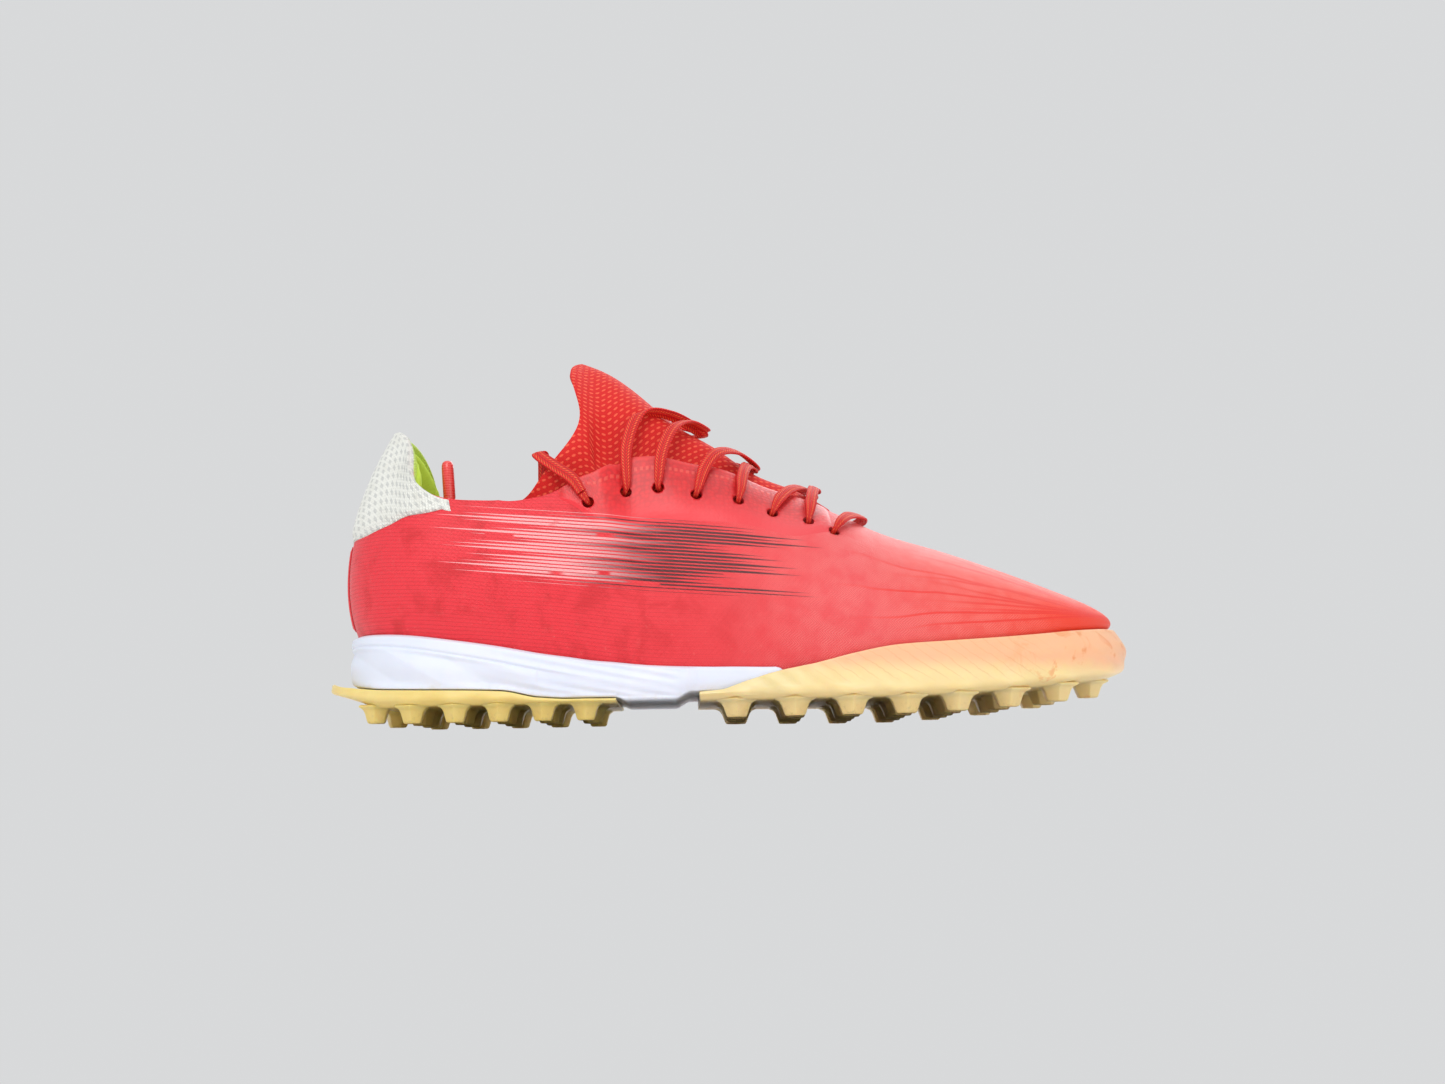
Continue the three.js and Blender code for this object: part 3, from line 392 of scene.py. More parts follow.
def normal(i, v):
    i, v = np.broadcast_arrays(np.asarray(i, float), np.asarray(v, float))
    k = k_of(i)
    vv = np.clip(v, 0.02, 0.985)
    e = np.where((v > 0.6) & (k >= NK - 0.5), 0.6, 0.05)
    n = unit(np.cross(raw(i + e, vv) - raw(i - e, vv), raw(i, vv + 0.01) - raw(i, vv - 0.01)))
    t = (RIDGE((k - TIP + 0.05).clip(0.06, NK - TIP)) - RIDGE((k - TIP - 0.05).clip(0, NK - TIP - 0.06)))
    rn = unit(np.stack([-t[..., 2], np.zeros_like(k), t[..., 0]], -1) * np.sign(t[..., 0])[..., None])
    w = (smooth((v - 0.9) / 0.1) * smooth((k - TIP - 0.1) / 0.5))[..., None]
    n = unit(n * (1 - w) + rn * w)
    return np.where((v < 0)[..., None], outline_normal(i), n)


def surf(i, v, off=0.0):
    return raw(i, v) + normal(i, v) * np.asarray(off)[..., None]


lat_i = lambda k: np.asarray(k, float)
med_i = lambda k: LOOP - np.asarray(k, float)


# ------------------------------------------------------------------ mesh helpers
def make_object(name, verts_mm, faces, uv=None, attrs=None, smooth_angle=40, shift=True):
    """Mesh object in metres from millimetre points; uv and attrs are per vertex."""
    v = (np.asarray(verts_mm, float) + (SHIFT if shift else 0)) * MM
    me = bpy.data.meshes.new(name)
    me.from_pydata(v.tolist(), [], [list(map(int, f)) for f in faces])
    me.update()
    if uv is not None:
        layer = me.uv_layers.new(name="UVMap")
        idx = np.zeros(len(me.loops), int)
        me.loops.foreach_get("vertex_index", idx)
        layer.data.foreach_set("uv", np.asarray(uv, float)[idx].ravel())
    for key, arr in (attrs or {}).items():
        arr = np.asarray(arr, float)
        if arr.ndim == 1:
            a = me.attributes.new(key, "FLOAT", "POINT")
            a.data.foreach_set("value", arr)
        else:
            a = me.attributes.new(key, "FLOAT_COLOR", "POINT")
            a.data.foreach_set("color", np.concatenate([arr, np.ones((len(arr), 4 - arr.shape[1]))], 1).ravel())
    ob = bpy.data.objects.new(name, me)
    bpy.context.scene.collection.objects.link(ob)
    me.polygons.foreach_set("use_smooth", [True] * len(me.polygons))
    if smooth_angle:
        me.set_sharp_from_angle(angle=math.radians(smooth_angle))
    return ob


def active(ob):
    for o in bpy.context.selected_objects:
        o.select_set(False)
    ob.select_set(True)
    bpy.context.view_layer.objects.active = ob


def apply_all(ob):
    active(ob)
    for m in list(ob.modifiers):
        bpy.ops.object.modifier_apply(modifier=m.name)


def merge(ob, dist=0.00004):
    bm = bmesh.new()
    bm.from_mesh(ob.data)
    bmesh.ops.remove_doubles(bm, verts=bm.verts, dist=dist)
    bmesh.ops.dissolve_degenerate(bm, edges=bm.edges, dist=1e-7)
    bm.to_mesh(ob.data)
    bm.free()
    ob.data.update()


def solidify(ob, thick_mm, bevel_mm=0.0, offset=-1.0):
    s = ob.modifiers.new("solid", "SOLIDIFY")
    s.thickness, s.offset, s.use_even_offset = thick_mm * MM, offset, False
    if bevel_mm:
        b = ob.modifiers.new("bevel", "BEVEL")
        b.width, b.segments, b.limit_method, b.angle_limit = bevel_mm * MM, 2, "ANGLE", math.radians(50)
        b.use_clamp_overlap = True
    apply_all(ob)


UVS = 1 / 300.0


def grid_sheet(name, halves, offset, extra=None):
    """halves: list of (i array (C,), v array (C,R)). Builds quads; halves share points by merging."""
    V, F, UV, AT = [], [], [], {}
    base = 0
    for i, v in halves:
        ii = np.repeat(i[:, None], v.shape[1], 1)
        off = offset(ii, v) if callable(offset) else np.full(v.shape, float(offset))
        P = surf(ii, v, off)
        C, R = v.shape
        # girth length upward and length along the shoe, both in millimetres
        dv = np.linalg.norm(np.diff(P, axis=1), axis=2)
        gv = np.concatenate([np.zeros((C, 1)), np.cumsum(dv, 1)], 1)
        uu = P[..., 0] + 160
        side = -1 if np.mod(i[len(i) // 2], LOOP) < NK else 1
        UV.append(np.stack([uu * UVS, (gv * UVS) + (0.5 if side > 0 else 0.0)], -1).reshape(-1, 2))
        V.append(P.reshape(-1, 3))
        idx = base + np.arange(C * R).reshape(C, R)
        a, b, c, d = idx[:-1, :-1], idx[1:, :-1], idx[1:, 1:], idx[:-1, 1:]
        F.append(np.stack([a, b, c, d], -1).reshape(-1, 4))
        base += C * R
        if extra:
            for key, arr in extra(ii, v, P, gv, side).items():
                AT.setdefault(key, []).append(arr.reshape(C * R, *arr.shape[2:]))
    ob = make_object(name, np.concatenate(V), np.concatenate(F), np.concatenate(UV),
                     {k: np.concatenate(x) for k, x in AT.items()}, smooth_angle=0)
    merge(ob)
    return ob


def halves(k0, k1, step, lo, hi, rows):
    """lateral and medial column sets, medial reversed so both wind the same way."""
    ks = np.linspace(k0, k1, int(round((k1 - k0) / step)) + 1)
    r = np.linspace(0, 1, rows + 1)
    v = lo(ks)[:, None] + (hi(ks) - lo(ks))[:, None] * r[None]
    return [(lat_i(ks), v), (med_i(ks)[::-1], v[::-1])]


const = lambda x: (lambda k: np.full(np.shape(k), float(x)))

# ------------------------------------------------------------------ material helpers
class Mat:
    def __init__(self, name, **principled):
        self.m = bpy.data.materials.new(name)
        self.m.use_nodes = True
        self.t = self.m.node_tree
        self.t.nodes.clear()
        self.out = self.node("ShaderNodeOutputMaterial")
        self.b = self.node("ShaderNodeBsdfPrincipled")
        self.link(self.b.outputs[0], self.out.inputs[0])
        for k, v in principled.items():
            self.b.inputs[k.replace("_", " ")].default_value = v

    def node(self, kind, **attrs):
        n = self.t.nodes.new(kind)
        for k, v in attrs.items():
            setattr(n, k, v)
        return n

    def link(self, a, b):
        self.t.links.new(a, b)

    def put(self, sock, x):
        if x is None:
            return
        if isinstance(x, bpy.types.NodeSocket):
            self.link(x, sock)
        elif hasattr(x, "__len__") and sock.type == "RGBA" and len(x) == 3:
            sock.default_value = (*x, 1)
        else:
            sock.default_value = x

    def math(self, op, a, b=None, c=None, clamp=False):
        n = self.node("ShaderNodeMath", operation=op, use_clamp=clamp)
        for s, x in zip(n.inputs, (a, b, c)):
            self.put(s, x)
        return n.outputs[0]

    def mix(self, f, a, b, blend="MIX"):
        n = self.node("ShaderNodeMix", data_type="RGBA", blend_type=blend)
        self.put(n.inputs[0], f)
        self.put(n.inputs[6], a)
        self.put(n.inputs[7], b)
        return n.outputs[2]

    def mixf(self, f, a, b):
        n = self.node("ShaderNodeMix", data_type="FLOAT")
        for s, x in zip((n.inputs[0], n.inputs[2], n.inputs[3]), (f, a, b)):
            self.put(s, x)
        return n.outputs[0]

    def step(self, x, a, b, lo=0.0, hi=1.0):
        n = self.node("ShaderNodeMapRange", interpolation_type="SMOOTHSTEP", clamp=True)
        for s, y in zip(n.inputs, (x, a, b, lo, hi)):
            self.put(s, y)
        return n.outputs[0]

    def noise(self, vec, scale, detail=2.0, rough=0.5, dist=0.0):
        n = self.node("ShaderNodeTexNoise")
        self.put(n.inputs["Vector"], vec)
        for k, x in (("Scale", scale), ("Detail", detail), ("Roughness", rough), ("Distortion", dist)):
            n.inputs[k].default_value = x
        return n.outputs[0]

    def voronoi(self, vec, scale, feature="F1", rand=1.0):
        n = self.node("ShaderNodeTexVoronoi", feature=feature)
        self.put(n.inputs["Vector"], vec)
        n.inputs["Scale"].default_value = scale
        n.inputs["Randomness"].default_value = rand
        return n.outputs["Distance"]

    def uv_mm(self):
        u = self.node("ShaderNodeUVMap", uv_map="UVMap")
        n = self.node("ShaderNodeVectorMath", operation="SCALE")
        self.link(u.outputs[0], n.inputs[0])
        n.inputs["Scale"].default_value = 300.0
        s = self.node("ShaderNodeSeparateXYZ")
        self.link(n.outputs[0], s.inputs[0])
        return n.outputs[0], s.outputs[0], s.outputs[1]

    def obj_mm(self):
        u = self.node("ShaderNodeTexCoord")
        n = self.node("ShaderNodeVectorMath", operation="SCALE")
        self.link(u.outputs["Object"], n.inputs[0])
        n.inputs["Scale"].default_value = 1000.0
        s = self.node("ShaderNodeSeparateXYZ")
        self.link(n.outputs[0], s.inputs[0])
        return n.outputs[0], s.outputs[0], s.outputs[1], s.outputs[2]

    def vec(self, x, y, z=0.0):
        n = self.node("ShaderNodeCombineXYZ")
        for s, a in zip(n.inputs, (x, y, z)):
            self.put(s, a)
        return n.outputs[0]

    def attr(self, name, color=False):
        n = self.node("ShaderNodeAttribute", attribute_name=name)
        return n.outputs["Color" if color else "Fac"]

    def bump(self, height, dist_mm, strength=1.0, base=None):
        n = self.node("ShaderNodeBump")
        n.inputs["Strength"].default_value = strength
        n.inputs["Distance"].default_value = dist_mm * MM
        self.put(n.inputs["Height"], height)
        if base is not None:
            self.link(base, n.inputs["Normal"])
        return n.outputs[0]

    def lines(self, x, pitch, duty, soft=0.15):
        """1 on a line of width duty*pitch, 0 between, with soft edges."""
        f = self.math("FRACT", self.math("DIVIDE", x, pitch))
        d = self.math("ABSOLUTE", self.math("SUBTRACT", f, 0.5))
        return self.step(d, duty / 2 - soft / 2, duty / 2 + soft / 2, 1.0, 0.0)

    def wave(self, x, pitch):
        """sine, 0..1"""
        s = self.math("SINE", self.math("MULTIPLY", x, 2 * math.pi / pitch))
        return self.math("MULTIPLY_ADD", s, 0.5, 0.5)

    def set(self, **kw):
        for k, x in kw.items():
            self.put(self.b.inputs[k.replace("_", " ")], x)
        return self.m


def srgb(r, g, b):
    f = lambda c: ((c / 255 + 0.055) / 1.055) ** 2.4 if c > 10 else c / 255 / 12.92
    return (f(r), f(g), f(b))


def give(ob, mat, slot=None, body="shoe", nodes=()):
    ob.data.materials.clear()
    ob.data.materials.append(mat)
    if body:
        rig.ride(ob, body)
    if slot:
        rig.slot(ob, slot)
    if nodes:
        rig.replaces(ob, *nodes)
    return ob


# ------------------------------------------------------------------ lace route (millimetres)
EYELETS = [[8.27, 0.627], [10.9, 0.464], [12.55, 0.476], [13.96, 0.516], [15.31, 0.581], [16.24, 0.606], [17.19, 0.627], [17.88, 0.63]]
LACE_W, LACE_T = 4.2, 1.1
OVER = GAP + TAPE_T + 0.2 + 0.5 + LACE_T / 2
UNDER = -SHELL_T - 1.0 - LACE_T / 2
RIDGE_LOW = 0.2 + 0.9 + LACE_T / 2
RIDGE_HIGH = RIDGE_LOW + LACE_T + 0.6
CROSS_K = {6: 17.55, 4: 15.95, 2: 14.62}
FLAT, BUNCHED, HALF = (LACE_W, LACE_T), (1.9, 1.25), (3.1, 1.1)


def loop_of(side, k):
    return k if side < 0 else LOOP - k


def sp(side, k, v, off):
    return surf(np.array(loop_of(side, k), float), np.array(float(v)), np.array(float(off)))


def eye_normal(side, e):
    k, v = EYELETS[e]
    return normal(np.array(loop_of(side, k), float), np.array(v))


def along_throat(side, e):
    k, v = EYELETS[e]
    return unit(sp(side, k + 0.4, v, 0) - sp(side, k - 0.4, v, 0))


def hole_point(side, e, off, target, shift):
    k, v = EYELETS[e]
    p, n = sp(side, k, v, off), eye_normal(side, e)
    d = target - p
    d = unit(d - n * d.dot(n))
    return p + d * shift


def strand(s, a, b, high):
    kc = CROSS_K.get(min(a, b), CROSS_K.get(min(a, b) + 1))
    add = 0.9 if kc < 15 else 0.2

    def half(side, e):
        k0, v0 = EYELETS[e]
        out = []
        for f in (0.18, 0.42, 0.72):
            k, v = lerp(k0, kc, f), lerp(v0, 1, f ** 0.92)
            top = (RIDGE_HIGH if high else RIDGE_LOW) + add
            lift = OVER + 0.25 + (0.5 if high else 0) if f < 0.3 else lerp(OVER + 0.2, top, f) + (0.6 if high else 0.1)
            out.append(sp(side, k, v, lift))
        return out
    return half(s, a) + [sp(s, kc, 1, (RIDGE_HIGH if high else RIDGE_LOW) + add)] + half(-s, b)[::-1]


def tail_start(side):
    return sp(side, 7.8, 0.78, OVER + 0.6)


def half_route(s):
    pts, wide, size = [], [], []

    def put(p, w, z=FLAT):
        pts.append(np.array(p)); wide.append(unit(np.array(w, float))); size.append(z)
    bar = unit(np.array([0.9, 0, -0.45]))
    put(sp(s, 18.9, 1, OVER - 0.1), bar)
    put(sp(s, 18.75, 0.9, OVER + 0.3), bar)
    b2 = sp(s, 18.3, 0.77, OVER + 0.2)
    put(b2, bar)
    state = {"side": s}

    def through(e, above, below, down):
        side = state["side"]
        W, n = along_throat(side, e), eye_normal(side, e)
        low = np.cross(W, n)
        low = low * (-1 if low[2] < 0 else 1)
        mixed = lerp(W, low, 0.5)
        q = [(hole_point(side, e, OVER, above, 3.2), W, HALF), (hole_point(side, e, 1.2, above, 0.6), W, BUNCHED),
             (hole_point(side, e, -1.8, below, 0.6), mixed, BUNCHED), (hole_point(side, e, UNDER, below, 3.2), low, HALF)]
        for a in (q if down else q[::-1]):
            put(*a)

    def beneath(e):
        return sp(state["side"], (EYELETS[e][0] + EYELETS[e + 1][0]) / 2, (EYELETS[e][1] + EYELETS[e + 1][1]) / 2, UNDER - 0.15)
    under = beneath(6)
    through(7, b2, under, True)
    for e in (6, 4, 2):
        side = state["side"]
        st = strand(side, e, e - 1, s < 0)
        through(e, st[0], under, False)
        W0, W1 = along_throat(side, e), along_throat(-side, e - 1)
        for j, p in enumerate(st):
            put(p, lerp(W0, W1, (j + 1) / (len(st) + 1)))
        state["side"] = -side
        under = beneath(e - 2)
        through(e - 1, st[-1], under, True)
    through(0, tail_start(state["side"]), under, False)
    return pts, wide, size, state["side"]


def centripetal(pts, step):
    """smooth curve through points with even samples; returns points and fractional point index"""
    P = np.array(pts, float)
    n = len(P)
    out, par = [], []
    ext = np.vstack([2 * P[0] - P[1], P, 2 * P[-1] - P[-2]])
    for j in range(n - 1):
        p0, p1, p2, p3 = ext[j], ext[j + 1], ext[j + 2], ext[j + 3]
        d0, d1, d2 = [max(np.linalg.norm(a - b), 1e-6) ** 0.5 for a, b in ((p1, p0), (p2, p1), (p3, p2))]
        t1 = ((p1 - p0) / d0 - (p2 - p0) / (d0 + d1) + (p2 - p1) / d1) * d1
        t2 = ((p2 - p1) / d1 - (p3 - p1) / (d1 + d2) + (p3 - p2) / d2) * d1
        m = max(2, int(round(np.linalg.norm(p2 - p1) / step)))
        for q in range(m):
            t = q / m
            out.append((2 * t**3 - 3 * t**2 + 1) * p1 + (t**3 - 2 * t**2 + t) * t1 + (-2 * t**3 + 3 * t**2) * p2 + (t**3 - t**2) * t2)
            par.append(j + t)
    out.append(P[-1]); par.append(n - 1)
    return np.array(out), np.array(par)


def ribbon(name, P, W, S, ends=True):
    """flat woven lace: P centre points, W width directions, S (width, thickness) per point"""
    n = len(P)
    T = unit(np.gradient(P, axis=0))
    W = unit(W - T * (W * T).sum(1)[:, None])
    for _ in range(3):
        W[1:-1] = unit(0.25 * W[:-2] + 0.5 * W[1:-1] + 0.25 * W[2:])
    W = unit(W - T * (W * T).sum(1)[:, None])
    N = np.cross(W, T)
    m = 28
    a = np.linspace(0, 2 * np.pi, m, endpoint=False)
    ca, sa = np.cos(a), np.sin(a)
    x = 0.5 * np.sign(ca) * np.abs(ca) ** 0.55
    y = 0.5 * np.sign(sa) * np.abs(sa) ** 0.75
    y = y * (1 + 0.16 * np.cos(x * 2 * np.pi * 4.5))           # lengthwise ribs
    V = P[:, None] + W[:, None] * (x[None] * S[:, :1])[..., None] + N[:, None] * (y[None] * S[:, 1:2])[..., None]
    L = np.concatenate([[0], np.cumsum(np.linalg.norm(np.diff(P, axis=0), axis=1))])
    F = []
    idx = np.arange(n * m).reshape(n, m)
    nxt = np.roll(idx, -1, 1)
    F = np.stack([idx[:-1], nxt[:-1], nxt[1:], idx[1:]], -1).reshape(-1, 4).tolist()
    F += [list(idx[0][::-1]), list(idx[-1])]
    across = np.broadcast_to(x[None] * LACE_W, (n, m))
    along = np.broadcast_to(L[:, None], (n, m))
    ob = make_object(name, V.reshape(-1, 3), F, None, {"la": along.ravel(), "lw": across.ravel()}, smooth_angle=50)
    bm = bmesh.new(); bm.from_mesh(ob.data)
    bmesh.ops.recalc_face_normals(bm, faces=bm.faces)
    bm.to_mesh(ob.data); bm.free()
    return ob, L[-1]


def at(par, seq):
    seq = np.array(seq, float)
    return np.stack([np.interp(par, np.arange(len(seq)), seq[:, c]) for c in range(seq.shape[1])], 1)


H = {s: half_route(s) for s in (-1, 1)}
TAIL_ROUTES = {
    "lateral": [[-66.8, 31.6, 92.0, 1, 0, 0.2], [-65.5, 27.2, 92.6, 1, 0, 0.2], [-65.5, 24.2, 86, 1, 0.3, 0], [-67, 22.6, 77, 0.6, 1, 0],
                [-73, 21.4, 67.5, 0, 1, 0], [-83, 20.6, 62.5, 0, 1, 0], [-93, 20, 65.0, 0, 1, 0], [-98.8, 19.4, 72.5, 0, 1, 0]],
    "medial": [[-66.8, 31.6, 92.0, 1, 0, 0.2], [-65.5, 27.2, 92.6, 1, 0, 0.2], [-65.5, 24.2, 86, 1, 0.3, 0], [-68, 22.4, 77, 0.6, 1, 0],
               [-75, 21.4, 67.5, 0, 1, 0], [-87, 20.4, 62.0, 0, 1, 0], [-97, 18.6, 60.5, 0, 1, 0]]}
AGLET_TIPS = {"lateral": [-100.2, 18.8, 91.5], "medial": [-115.5, 14.5, 61.5]}
AGLET_R, AGLET_L = 2.2, 20.0


def lathe(name, o, axis, prof, m=28):
    """solid of revolution, prof = (radius, distance along the axis)"""
    axis = unit(np.array(axis, float))
    u = unit(np.cross(axis, [0, 0, 1.0] if abs(axis[2]) < 0.9 else [1.0, 0, 0]))
    w = np.cross(axis, u)
    a = np.linspace(0, 2 * np.pi, m, endpoint=False)
    V = [o + axis * h + (u * np.cos(t) + w * np.sin(t)) * r for r, h in prof for t in a]
    idx = np.arange(len(prof) * m).reshape(len(prof), m)
    nxt = np.roll(idx, -1, 1)
    F = np.stack([idx[:-1], nxt[:-1], nxt[1:], idx[1:]], -1).reshape(-1, 4).tolist() + [list(idx[0][::-1]), list(idx[-1])]
    ob = make_object(name, V, F, smooth_angle=40)
    bm = bmesh.new(); bm.from_mesh(ob.data)
    bmesh.ops.recalc_face_normals(bm, faces=bm.faces)
    bm.to_mesh(ob.data); bm.free()
    return ob


def lace_material():
    m = Mat("lace_weave", Roughness=0.6, Sheen_Weight=0.1, Sheen_Roughness=0.45)
    la, lw = m.attr("la"), m.attr("lw")
    rib = m.wave(lw, 0.95)
    # staggered diagonal pick marks on each rib
    pick = m.wave(m.math("ADD", m.math("MULTIPLY", m.math("ABSOLUTE", lw), 1.3), la), 1.25)
    v = m.vec(la, lw)
    fleck = m.noise(v, 0.45, 2.0, 0.6)
    # the red is darker in the hollows between ribs and picks and brighter on their crests: painted shade and painted
    # light on the weave relief
    c = m.mix(m.math("MULTIPLY", rib, pick), srgb(186, 6, 2), srgb(255, 28, 14))
    # orange painted highlight in thread lines, shown only on the pick crests
    thread_highlight = m.lines(m.math("ADD", lw, 2.2), 2.1, 0.24, 0.14)
    c = m.mix(m.math("MULTIPLY", m.math("MULTIPLY", thread_highlight, m.step(pick, 0.3, 0.7)), 0.8), c, srgb(255, 120, 62))
    c = m.mix(m.math("MULTIPLY", fleck, 0.25), c, srgb(150, 8, 4))
    h = m.math("ADD", m.math("MULTIPLY", rib, 0.6), m.math("MULTIPLY", pick, 0.4))
    return m.set(Base_Color=c, Normal=m.bump(h, 0.16, 0.9), Sheen_Tint=srgb(255, 120, 90))


def aglet_material():
    m = Mat("aglet_film", Roughness=0.24, Coat_Weight=0.6, Coat_Roughness=0.12, IOR=1.48)
    v, x, y, z = m.obj_mm()
    n = m.noise(v, 0.9, 3.0, 0.6)
    wrap = m.wave(z, 0.9)
    c = m.mix(n, srgb(196, 18, 14), srgb(244, 52, 58))
    c = m.mix(m.math("MULTIPLY", wrap, 0.3), c, srgb(255, 128, 110))
    return m.set(Base_Color=c, Roughness=m.mixf(n, 0.2, 0.38), Normal=m.bump(m.math("ADD", wrap, n), 0.05, 0.5))


LACE_MAT, AGLET_MAT = lace_material(), aglet_material()
a, b = H[-1], H[1]
mid = (a[0][0] + b[0][0]) / 2
lace_pts = a[0][1:][::-1] + [mid] + b[0][1:]
lace_wide = [w for w in a[1][1:][::-1]] + [a[1][0]] + b[1][1:]
lace_size = a[2][1:][::-1] + [FLAT] + b[2][1:]
P, par = centripetal(lace_pts, 0.8)
Wd, Sz = at(par, lace_wide), at(par, lace_size)
lace, lace_len = ribbon("lace_laced", P, Wd, Sz)
give(lace, LACE_MAT, "lace_weave", nodes=("lace",))

TAIL_LEN = {}
for name, side in (("lateral", -1), ("medial", 1)):
    src = H[1] if side < 0 else H[-1]
    last, prev = src[0][-1], src[0][-2]
    W0 = along_throat(side, 0)
    pts = [last + unit(last - prev) * 0.5, tail_start(side), sp(side, 7.3, 0.92, OVER + 0.4)]
    wide = [W0, W0, np.array([0.8, 0, 0.6])]
    for x, yy, z, wx, wy, wz in TAIL_ROUTES[name]:
        pts.append(np.array([x, yy * side, z])); wide.append(np.array([wx, wy * side, wz], float))
    size = [(3.4, 1.3)] + [FLAT] * (len(pts) - 2) + [(3.0, 1.6)]
    P, par = centripetal(pts, 0.8)
    tail, L = ribbon("lace_tail_" + name + "_woven", P, at(par, [unit(w) for w in wide]), at(par, size))
    give(tail, LACE_MAT, "lace_weave", nodes=("lace_tail_" + name,))
    end = P[-1]
    tip = np.array([AGLET_TIPS[name][0], AGLET_TIPS[name][1] * side, AGLET_TIPS[name][2]])
    axis = unit(tip - end)
    R, AL = AGLET_R, AGLET_L
    prof = [(R * 0.55, 0), (R * 0.9, 0.05), (R * 0.98, 0.35), (R, 0.9), (R * 0.96, 1.3), (R * 0.97, 6), (R * 0.93, 6.3), (R * 0.97, 6.6),
            (R * 0.97, AL - 3), (R * 0.93, AL - 1.6), (R * 0.78, AL - 0.6), (R * 0.5, AL - 0.1), (R * 0.2, AL)]
    ag = lathe("aglet_tip_" + name, end + axis * 0.3, axis, prof)
    give(ag, AGLET_MAT, "aglet_film", nodes=("aglet_" + name,))
    path = (P[::2] if (len(P) - 1) % 2 == 0 else np.vstack([P[::2], P[-1:]]))
    path = (path + SHIFT) * MM
    TAIL_LEN[name] = L * MM
    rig.cord(tail, exit=tuple(path[0]), length=L * MM, diameter=LACE_W * MM, far_end="fitting",
            stiffness="limp", lay="loose", path=[tuple(p) for p in path], with_pieces=[ag])
print("lace laced part mm", round(lace_len, 1), "tails mm", {k: round(x * 1000, 1) for k, x in TAIL_LEN.items()})


# ------------------------------------------------------------------ upper
def ramp(x, stops):
    """piecewise linear colour, stops = [(x, (r, g, b) 0..255)]"""
    xs = [s[0] for s in stops]
    cols = np.array([srgb(*s[1]) for s in stops])
    return np.stack([np.interp(x, xs, cols[:, c]) for c in range(3)], -1)


def graphic_st(x, z):
    """s along and t across the band of speed lines on the side, in millimetres"""
    ax, az, bx, bz = -114.0, 63.5, 44.0, 49.0
    L = math.hypot(bx - ax, bz - az)
    ex, ez = (bx - ax) / L, (bz - az) / L
    return (x - ax) * ex + (z - az) * ez, -(x - ax) * ez + (z - az) * ex


def upper_extra(ii, v, P, gv, side):
    x, z = P[..., 0], P[..., 2]
    t = x + (z - 45) * 0.35                      # the fade leans back
    col = ramp(t, [(-140, (247, 46, 62)), (-60, (247, 42, 58)), (0, (240, 58, 66)), (42, (241, 82, 86)), (78, (246, 82, 70)),
                   (98, (250, 68, 40)), (114, (252, 60, 20)), (150, (251, 54, 14))])
    s, q = graphic_st(x, z)
    k = k_of(ii)
    return {"zone": col, "gs": s, "gt": q, "kk": k, "vv": v, "sd": np.full(v.shape, float(side)),
            "px": x, "pz": z}


UPPER_KS = np.unique(np.concatenate([np.linspace(0, 5.5, 45), np.linspace(5.5, 19, 136), np.linspace(19, 25, 70)]))
upper_hi = lambda k: np.where(k >= 18.95, 1.0, throat_v(k))
rows = np.concatenate([[-1.0, -0.5], np.linspace(0, 1, 66)])


def upper_halves(ks):
    V = np.where(rows[None] < 0, rows[None], rows[None] * upper_hi(ks)[:, None])
    return [(lat_i(ks), V), (med_i(ks)[::-1], V[::-1])]


def cutters(radius, length=9.0, seg=20):
    """one mesh of cylinders through every lace hole"""
    V, F = [], []
    for side in (-1, 1):
        for e, (k, v) in enumerate(EYELETS):
            n, p = eye_normal(side, e), sp(side, k, v, 0)
            u = unit(np.cross(n, [0.3, 0.2, 1.0])); w = np.cross(n, u)
            base = len(V)
            for h in (-length / 2, length / 2):
                for t in np.linspace(0, 2 * np.pi, seg, endpoint=False):
                    V.append(p + n * h + (u * np.cos(t) + w * np.sin(t)) * radius)
            for j in range(seg):
                j2 = (j + 1) % seg
                F.append([base + j, base + j2, base + seg + j2, base + seg + j])
            F.append([base + j for j in range(seg)][::-1])
            F.append([base + seg + j for j in range(seg)])
    return make_object("cutters", V, F, smooth_angle=0)


def pierce(ob, radius):
    from mathutils.kdtree import KDTree
    me = ob.data
    old = {a.name: a for a in me.attributes if a.domain == "POINT" and a.data_type in ("FLOAT", "FLOAT_COLOR") and a.name != "position"}
    store = {}
    for key, a in old.items():
        w = 1 if a.data_type == "FLOAT" else 4
        buf = np.zeros(len(me.vertices) * w)
        a.data.foreach_get("value" if w == 1 else "color", buf)
        store[key] = buf.reshape(-1, w)
    tree = KDTree(len(me.vertices))
    for j, vtx in enumerate(me.vertices):
        tree.insert(vtx.co, j)
    tree.balance()
    c = cutters(radius)
    m = ob.modifiers.new("holes", "BOOLEAN")
    m.operation, m.object, m.solver = "DIFFERENCE", c, "EXACT"
    apply_all(ob)
    bpy.data.objects.remove(c)
    near = np.array([tree.find(vtx.co)[1] for vtx in ob.data.vertices])
    for key, arr in store.items():
        a = ob.data.attributes.get(key)
        if a is not None:
            a.data.foreach_set("value" if arr.shape[1] == 1 else "color", arr[near].ravel())


upper = grid_sheet("upper_knit_shell", upper_halves(UPPER_KS), 0.0, upper_extra)
solidify(upper, SHELL_T, 0.35)
pierce(upper, 2.3)
print("upper verts", len(upper.data.vertices))

# bonded film bands along the throat, tapering out towards the collar
def film_hi(k):
    return throat_v(k)


def film_lo(k):
    return throat_v(k) * (0.97 - 0.353 * smooth((k - 6.7) / 2.3) * (1 - 0.35 * smooth((k - 16.6) / 1.6)))


